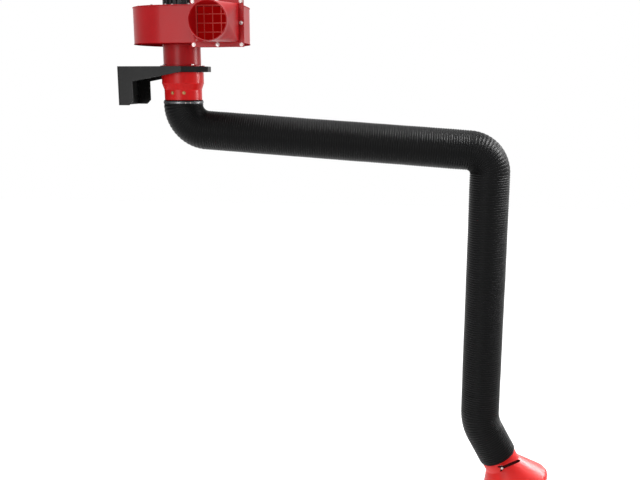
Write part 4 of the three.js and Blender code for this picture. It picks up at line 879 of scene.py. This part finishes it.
def add_scroll():
    middle = (AXIS_X, 0, (SCROLL_LOW + SCROLL_TOP) / 2)
    wall = finish_mesh("scroll_wall", scroll_wall(), RED, "base", ("scroll_housing",))
    floor = holed_plate(closed_scroll(OUTLET_FRONT, COVER_OVERHANG), DUCT_BORE_R,
                        SCROLL_LOW - 0.2, SCROLL_LOW + 2.4, 0.7)
    # The plate's outer faces take the darker, matte red, painted shade on the fan's underside.
    under = finish_mesh("scroll_floor", floor, SHADED_UNDER_RED, "base", ())
    cover = holed_plate(closed_scroll(OUTLET_FRONT + 0.3, COVER_OVERHANG), COVER_HOLE_R,
                        SCROLL_TOP, COVER_TOP, 0.7)
    lid = finish_mesh("scroll_cover_plate", cover, COVER_RED, "base", ("scroll_cover",))
    # Faces turned inward get the glowing inner paint, a painted glow inside the fan.
    for piece in (wall, under, lid):
        paint_inside(piece, GLOWING_INNER_RED, middle)
    path = [Vector(p) for p in scroll_path(11.0, OUTLET_FRONT + 14)]
    lengths = [(b - a).length for a, b in zip(path, path[1:])]
    heads = []
    for i in range(COVER_SCREWS):
        left = sum(lengths) * (i + 0.5) / COVER_SCREWS
        for a, b, length in zip(path, path[1:], lengths):
            if left <= length:
                spot = a.lerp(b, left / length)
                break
            left -= length
        place = Matrix.Translation((spot.x, spot.y, COVER_TOP - 0.1)) @ Matrix.Rotation(0.7 * i, 4, "Z")
        heads.append(bolt_head(place, 5.0, 4.4, 6.2))
    finish_mesh("cover_screws", merged(*heads), STEEL, "base", ())


def framed(half_outer, half_inner, y0, y1, soft):
    """A flat square frame across the outlet, from y0 to y1."""
    def ring(half, y, inset):
        w, h = half[0] - inset, half[1] - inset
        corner = rounded([(-w, -h), (w, -h), (w, h), (-w, h)], 3.0, 4)
        return [(OUTLET_X + p.x, y, OUTLET_Z + p.y) for p in corner]
    return loop_tube([
        ring(half_outer, y1, soft), ring(half_outer, y1 - soft, 0), ring(half_outer, y0 + soft, 0),
        ring(half_outer, y0, soft), ring(half_inner, y0, 0), ring(half_inner, y1, 0)])


def square_to_round(outset, sides=16):
    """Points of the square end and of the round end, paired. Each corner fans out to a quarter circle."""
    w, h = OUTLET_HALF[0] + outset, OUTLET_HALF[1] + outset
    radius = SPOUT_R - SHEET + outset
    pairs = []
    for quarter, (x, z) in enumerate(((1, 1), (-1, 1), (-1, -1), (1, -1))):
        for i in range(sides + 1):
            angle = math.pi / 2 * (quarter + i / sides)
            pairs.append(((x * w, z * h), (radius * math.cos(angle), radius * math.sin(angle))))
    return pairs


def transition():
    """Flat flange side, square collar, square-to-round body and a spout with a rolled edge."""
    steps = 10
    start = FLANGE_FRONT - 4
    loops = []
    for outset in (SHEET, 0.0):
        pairs = square_to_round(outset)
        circle = [b for _, b in pairs]
        sections = [([a for a, _ in pairs], FLANGE_FRONT + 1)]
        for t in (i / steps for i in range(steps + 1)):
            points = [((1 - t) * a[0] + t * b[0], (1 - t) * a[1] + t * b[1]) for a, b in pairs]
            sections.append((points, start + t * (ROUND_START - start)))
        roll = 1.2 / SPOUT_R if outset else 0.0
        for share, y in ((0, MOUTH_Y + 4), (1, MOUTH_Y + 2), (0.6, MOUTH_Y)):
            grow = 1.0 + roll * share
            sections.append(([(x * grow, z * grow) for x, z in circle], y))
        if not outset:
            sections.reverse()
        loops += [[(OUTLET_X + x, y, OUTLET_Z + z) for x, z in points] for points, y in sections]
    return loop_tube(loops)


def add_outlet():
    flange = framed(FLANGE_HALF, OUTLET_HALF, OUTLET_FRONT - 3.0, OUTLET_FRONT, 0.6)
    finish_mesh("scroll_flange", flange, RED, "base", ())
    gasket = framed((FLANGE_HALF[0] - 0.6, FLANGE_HALF[1] - 0.6), GASKET_HALF,
                    GASKET_FRONT, OUTLET_FRONT - 3.1, 0.3)
    finish_mesh("gasket_sheet", gasket, RUBBER, "base", ("outlet_gasket",))
    front = framed(FLANGE_HALF, OUTLET_HALF, FLANGE_FRONT, FLANGE_BACK, 0.7)
    body = finish_mesh("transition_body", merged(transition(), front), RED, "base",
                       ("outlet_transition",), 30.0)
    # The spout's inside faces get a glowing paint, a painted glow inside the outlet.
    paint_inside(body, GLOWING_SPOUT_RED, (OUTLET_X, 0, OUTLET_Z), (0, 1, 0))
    heads, nuts = [], []
    for x, z in ((-1, -1), (0, -1), (1, -1), (1, 0), (1, 1), (0, 1), (-1, 1), (-1, 0)):
        across, up = OUTLET_X + OUTLET_BOLT_HALF[0] * x, OUTLET_Z + OUTLET_BOLT_HALF[1] * z
        turn = Matrix.Rotation(0.5 * x + 0.3 * z, 4, "Z")
        heads.append(bolt_head(facing((across, FLANGE_FRONT + 0.1, up), (0, -1, 0)) @ turn, 6.5, 5.2, 8.0))
        if (x, z) != (-1, 0):
            nuts.append(bolt_head(facing((across, OUTLET_FRONT - 0.1, up), (0, 1, 0)), 6.5, 5.0, 7.6))
    finish_mesh("outlet_bolts", merged(*heads), STEEL, "base", ())
    finish_mesh("outlet_nuts", merged(*nuts), STEEL, "base", ())


def add_guard():
    half_w, half_h = GUARD_HALF
    back, front = GUARD_Y + 0.8, GUARD_Y - 0.8
    wires = []
    for x in (OUTLET_X + GUARD_PITCH * (i - 1.5) for i in range(4)):
        wires.append(rod((x, back, OUTLET_Z - half_h), (x, back, OUTLET_Z + half_h), GUARD_WIRE_R))
    for z in (OUTLET_Z + GUARD_PITCH * i for i in (-1, 0, 1)):
        wires.append(rod((OUTLET_X - half_w, front, z), (OUTLET_X + half_w, front, z), GUARD_WIRE_R))
    wires.append(framed(GUARD_HALF, (half_w - 6, half_h - 6), GUARD_Y - 1.9, GUARD_Y + 1.9, 0.8))
    # The guard wires are a paler, glowing red: a painted highlight and a painted glow.
    finish_mesh("guard_wires", merged(*wires), GLOWING_GUARD_RED, "base", ("outlet_guard",))


# Motor
def finned_ring():
    """A bmesh of the motor's body with its cooling fins, straight from end to end."""
    half, root = 2.5 / MOTOR_R, 3.4 / MOTOR_CORE_R
    fin = ((MOTOR_CORE_R, -root), (MOTOR_R - 1.5, -half), (MOTOR_R, -0.6 * half),
           (MOTOR_R, 0.6 * half), (MOTOR_R - 1.5, half), (MOTOR_CORE_R, root))
    outline = []
    for middle in (2 * math.pi * i / MOTOR_FINS for i in range(MOTOR_FINS)):
        outline += [(radius * math.cos(middle + a), radius * math.sin(middle + a)) for radius, a in fin]
    return plate(rounded(outline, 1.5, 2), MOTOR_LOW, MOTOR_TOP, 1.0, FAN_AXIS)


def add_motor():
    flange = [(SHAFT_HOLE_R, MOTOR_FOOT_LOW), (MOTOR_FOOT_R, MOTOR_FOOT_LOW),
              (MOTOR_FOOT_R, MOTOR_FOOT_TOP), (SHAFT_HOLE_R, MOTOR_FOOT_TOP)]
    finish_mesh("motor_foot", lathe(profile_of(flange, 1.6), FAN_AXIS, 72), MOTOR_BLACK, "base",
                ("motor_flange",))
    finish_mesh("motor_finned", finned_ring(), MOTOR_BLACK, "base", ("motor_frame",))
    add_cowl()
    add_terminal_box()
    bolts = bolt_circle(MOTOR_BOLT_R, MOTOR_FOOT_TOP - 0.1, 0.3, 5.6, 5.4, 7.0)
    finish_mesh("motor_bolts", merged(*bolts), STEEL, "base", ())


def add_cowl():
    """The cup over the cooling fan, with a grille of rings and six spokes round a small hub."""
    cup = [(COWL_R - 2.2, COWL_LOW), (COWL_R, COWL_LOW), (COWL_R, COWL_TOP - 10), (COWL_R - 3, COWL_TOP - 3),
           (COWL_R - 10, COWL_TOP), (COWL_R - 16, COWL_TOP), (COWL_R - 16, COWL_TOP - 2),
           (COWL_R - 10.5, COWL_TOP - 2), (COWL_R - 4.6, COWL_TOP - 4.4), (COWL_R - 2.2, COWL_TOP - 11)]
    parts = [lathe(profile_of(cup, 1.0), FAN_AXIS, 72)]
    low, high = COWL_TOP - 3.2, COWL_TOP - 0.4
    for radius in (13.0, 24.0, 35.0, 46.0, 57.0):
        ring = [(radius - 1.7, low), (radius + 1.7, low), (radius + 1.7, high), (radius - 1.7, high)]
        parts.append(lathe(profile_of(ring, 0.8), FAN_AXIS, 60))
    for i in range(6):
        turn = FAN_AXIS @ Matrix.Rotation(math.pi * i / 3 + 0.2, 4, "Z")
        parts.append(block((9.5, -1.8, COWL_TOP - 3.4), (COWL_R - 14, 1.8, COWL_TOP - 1.0), 0.6, turn))
    hub = [(0, low), (11, low), (11, high), (0, high)]
    parts.append(lathe(profile_of(hub, 0.8), FAN_AXIS, 40))
    finish_mesh("cowl_grille", merged(*parts), MOTOR_BLACK, "base", ("motor_cowl",))


def box_of(node):
    """The low and high corner of a CAD node, in millimetres."""
    return (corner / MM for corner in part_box(node))


def add_terminal_box():
    boxes = (("terminal_box", "terminal_body", 3.0), ("terminal_lid", "terminal_cover", 1.4))
    for node, name, width in boxes:
        finish_mesh(name, block(*box_of(node), width), MOTOR_BLACK, "base", (node,))
    low, high = box_of("terminal_lid")
    heads = []
    for x in (low.x + 9, high.x - 9):
        for z in (low.z + 9, high.z - 9):
            heads.append(bolt_head(facing((x, high.y - 0.1, z), (0, 1, 0)), 3.6, 2.8, 4.4))
    finish_mesh("terminal_screws", merged(*heads), STEEL, "base", ())
    low, high = box_of("cable_gland")
    middle = (low + high) / 2
    place = facing((GLAND_X, middle.y, middle.z), (1, 0, 0))
    nut = plate(hexagon(11.0), 0, 9.5, 0.8, place)
    dome = lathe(profile_of([(3.2, 9), (9.6, 9), (9.6, 14), (6.5, 19.6), (3.2, 19.6)], 0.8), place, 32)
    finish_mesh("gland_nut", merged(nut, dome), PLASTIC, "base", ("cable_gland",))


# Hood and damper
def hood_frame():
    """Local +Z runs along the hood's axis from the wrist's pivot, local +X across it in the arm's plane."""
    angle = math.radians(HOOD_DEG)
    along = Vector((math.cos(angle), 0, math.sin(angle)))
    across = Vector((-math.sin(angle), 0, math.cos(angle)))
    side = along.cross(across)
    turn = Matrix((across, side, along)).transposed().to_4x4()
    return Matrix.Translation((WRIST[0], 0, WRIST[1])) @ turn


def add_hood():
    sheet = HOOD_SHEET
    bead = [(MOUTH_R + BEAD_R * math.cos(a), MOUTH + BEAD_R + BEAD_R * math.sin(a))
            for a in (math.radians(-80 + 20 * i) for i in range(9))]
    outside = profile_of([
        (HOOD_SLEEVE_R, SLEEVE_TOP), (HOOD_SLEEVE_R, NECK_TOP), (NECK_R - 0.6, NECK_TOP),
        (NECK_R, NECK_TOP + 1.5), (NECK_R, NECK_LOW - 1.5), (NECK_R + 1.0, NECK_LOW + 0.5),
        (MOUTH_R - 1.2, CONE_LOW - 1.5), (MOUTH_R, CONE_LOW + 1.0), (MOUTH_R, MOUTH)], 1.4)[:-4]
    inside = [(MOUTH_R - sheet, MOUTH + 2 * BEAD_R), (MOUTH_R - sheet, CONE_LOW + 0.7),
              (NECK_R - sheet, NECK_LOW + 0.7), (NECK_R - sheet, NECK_TOP + sheet),
              (HOOD_SLEEVE_R - sheet, NECK_TOP + sheet), (HOOD_SLEEVE_R - sheet, SLEEVE_TOP)]
    hood = lathe(outside + bead + inside, hood_frame(), 96)
    finish_mesh("hood_spun", hood, HOOD_RED, "hood", ("hood_bell",), 30.0)


def add_lever():
    """The damper's flat handle: a bar from a forked hub, on the front of the hood's neck."""
    front = hood_frame() @ Matrix.Translation((0, 0, DAMPER_AT)) @ Matrix.Rotation(-math.pi / 2, 4, "X")
    outline = [(86.0, 6.0), (6.0, 6.0), (-4.0, 11.5), (-13.5, 14.5), (-16.0, 10.5), (-8.5, 6.5),
               (-8.5, -6.5), (-16.0, -10.5), (-13.5, -14.5), (-4.0, -11.5), (6.0, -6.0), (86.0, -6.0),
               (91.0, -3.0), (92.0, 0.0), (91.0, 3.0)]
    low, high = LEVER_FOOT, LEVER_FOOT + LEVER_T
    bar = plate(rounded(outline, 2.5, 3), low, high, 1.2, front)
    finish_mesh("lever_bar", bar, LEVER_PAINT, "damper", ("damper_lever",))
    crown = [(0, high - 0.2), (6.0, high - 0.2), (6.0, high + 2.4), (4.0, high + 4.2), (0, high + 4.2)]
    head = lathe(profile_of(crown, 0.7), front, 28)
    finish_mesh("lever_screw_head", head, STEEL, "damper", ("lever_screw",))


def add_kept_nodes():
    """CAD nodes that stay as they are, with a finished material each."""
    finishes = {
        GALVANISED: ("motor_rotor", "retaining_ring", "damper_blade"),
        STEEL: ("motor_shaft", "impeller_bolt", "shoulder_pin", "shoulder_nut", "elbow_pin", "elbow_nut",
                "wrist_pin", "wrist_nut", "damper_shaft"),
        PLASTIC: ("cooling_fan", "slide_ring", "shoulder_disc_1", "shoulder_disc_2",
                  "elbow_disc_1", "elbow_disc_2", "wrist_disc_1", "wrist_disc_2"),
        BLACK: ("swivel_ring", "shoulder_yoke", "upper_tube", "lower_tube"),
        MOTOR_BLACK: ("motor_end_shield",),
        HOOD_RED: ("neck_ring",),
        # The impeller and inlet cone take the glowing inner paint, a painted glow inside the fan.
        GLOWING_INNER_RED: ("impeller", "inlet_cone"),
    }
    for material, names in finishes.items():
        for name in names:
            mesh = NODES[name].data
            mesh.materials.clear()
            mesh.materials.append(material)
            shade(mesh, 35)


# Stage
AMBIENT = 0.28
FLOOR_Z = -2.78
SENSOR_W = 36
PHOTO_W = 640
FOCAL_PIXELS = 772.5
CAMERA_PLACE = (1.2867, -3.4974, 0.0192)
CAMERA_DOWN_DEG = 11.6
CAMERA_LEFT_DEG = 6.5


def seen_directly(tree):
    """1 for what the camera sees, also in reflections and through glass, and 0 for all other light."""
    path = tree.nodes.new("ShaderNodeLightPath")
    seen = path.outputs["Is Camera Ray"]
    for other in ("Is Glossy Ray", "Is Transmission Ray"):
        most = tree.nodes.new("ShaderNodeMath")
        most.operation = "MAXIMUM"
        tree.links.new(seen, most.inputs[0])
        tree.links.new(path.outputs[other], most.inputs[1])
        seen = most.outputs[0]
    return seen


def add_world():
    world = bpy.data.worlds.new("studio")
    bpy.context.scene.world = world
    world.use_nodes = True
    tree = world.node_tree
    plain = tree.nodes["Background"]
    plain.inputs["Color"].default_value = (1, 1, 1, 1)
    tree.links.new(ranged(tree, seen_directly(tree), AMBIENT, 1.0), plain.inputs["Strength"])


def add_floor():
    """A white floor that shows the shadow near the object and fades into the background away from it."""
    data = bmesh.new()
    bmesh.ops.create_grid(data, x_segments=2, y_segments=2, size=14.0)
    floor = new_piece("floor", data)
    floor.location = (0.9, 0.0, FLOOR_Z)
    material, tree, shader = new_material("floor_white", 0.9, 0.0, 0.0)
    shader.inputs["Base Color"].default_value = (0.93, 0.93, 0.93, 1)
    shader.inputs["Emission Color"].default_value = (1, 1, 1, 1)
    place = tree.nodes.new("ShaderNodeTexCoord")
    length = tree.nodes.new("ShaderNodeVectorMath")
    length.operation = "LENGTH"
    tree.links.new(place.outputs["Object"], length.inputs[0])
    fade = tree.nodes.new("ShaderNodeMapRange")
    for key, value in (("From Min", 1.0), ("From Max", 2.4), ("To Min", 0.55), ("To Max", 0.95)):
        fade.inputs[key].default_value = value
    tree.links.new(length.outputs["Value"], fade.inputs["Value"])
    lift = tree.nodes.new("ShaderNodeMath")
    lift.operation = "MULTIPLY"
    tree.links.new(fade.outputs["Result"], lift.inputs[0])
    tree.links.new(seen_directly(tree), lift.inputs[1])
    tree.links.new(lift.outputs["Value"], shader.inputs["Emission Strength"])
    floor.data.materials.append(material)


def add_area(name, place, target, size, power, spread=180.0):
    light = bpy.data.lights.new(name, "AREA")
    light.shape = "RECTANGLE"
    light.size, light.size_y = size
    light.energy = power
    light.spread = math.radians(spread)
    lamp = new_object(name, light)
    lamp.location = place
    lamp.rotation_euler = (Vector(target) - Vector(place)).to_track_quat("-Z", "Y").to_euler()
    lamp.visible_camera = False


def add_lights():
    add_area("key_left", (-0.42, -3.4, 0.65), (0.4, 0.0, 0.2), (1.0, 1.1), 22)
    add_area("key_low", (-0.72, -3.4, -0.2), (0.3, 0.0, 0.0), (1.5, 0.55), 20)
    add_area("top", (0.5, -0.2, 3.2), (0.5, -0.2, 0.0), (2.8, 3.8), 175)
    add_area("fan_edge", (3.4, 1.0, 0.35), (0.45, 0.0, 0.2), (0.7, 1.1), 3.2, 40.0)
    add_area("elbow_edge", (3.9, 0.1, 1.5), (1.7, 0.0, -0.35), (1.2, 1.2), 13, 26.0)
    add_area("hood_edge", (3.5, 1.9, -0.1), (1.85, 0.0, -1.85), (1.2, 2.1), 13, 34.0)
    add_area("strip_right", (2.35, -3.3, -0.9), (1.67, 0.0, -0.9), (0.22, 1.8), 4)


def add_camera():
    data = bpy.data.cameras.new("camera")
    data.lens = SENSOR_W * FOCAL_PIXELS / PHOTO_W
    data.sensor_width = SENSOR_W
    data.clip_end = 100
    camera = new_object("camera", data)
    camera.location = CAMERA_PLACE
    camera.rotation_euler = (math.radians(90 - CAMERA_DOWN_DEG), 0, math.radians(CAMERA_LEFT_DEG))
    bpy.context.scene.camera = camera


add_camera()
add_world()
add_floor()
add_lights()
add_hose()
add_spring()
add_bracket()
add_duct()
add_collar()
add_clamp()
add_scroll()
add_outlet()
add_guard()
add_motor()
add_hood()
add_lever()
add_kept_nodes()

bpy.context.scene.view_settings.view_transform = "Standard"
bpy.context.view_layer.update()
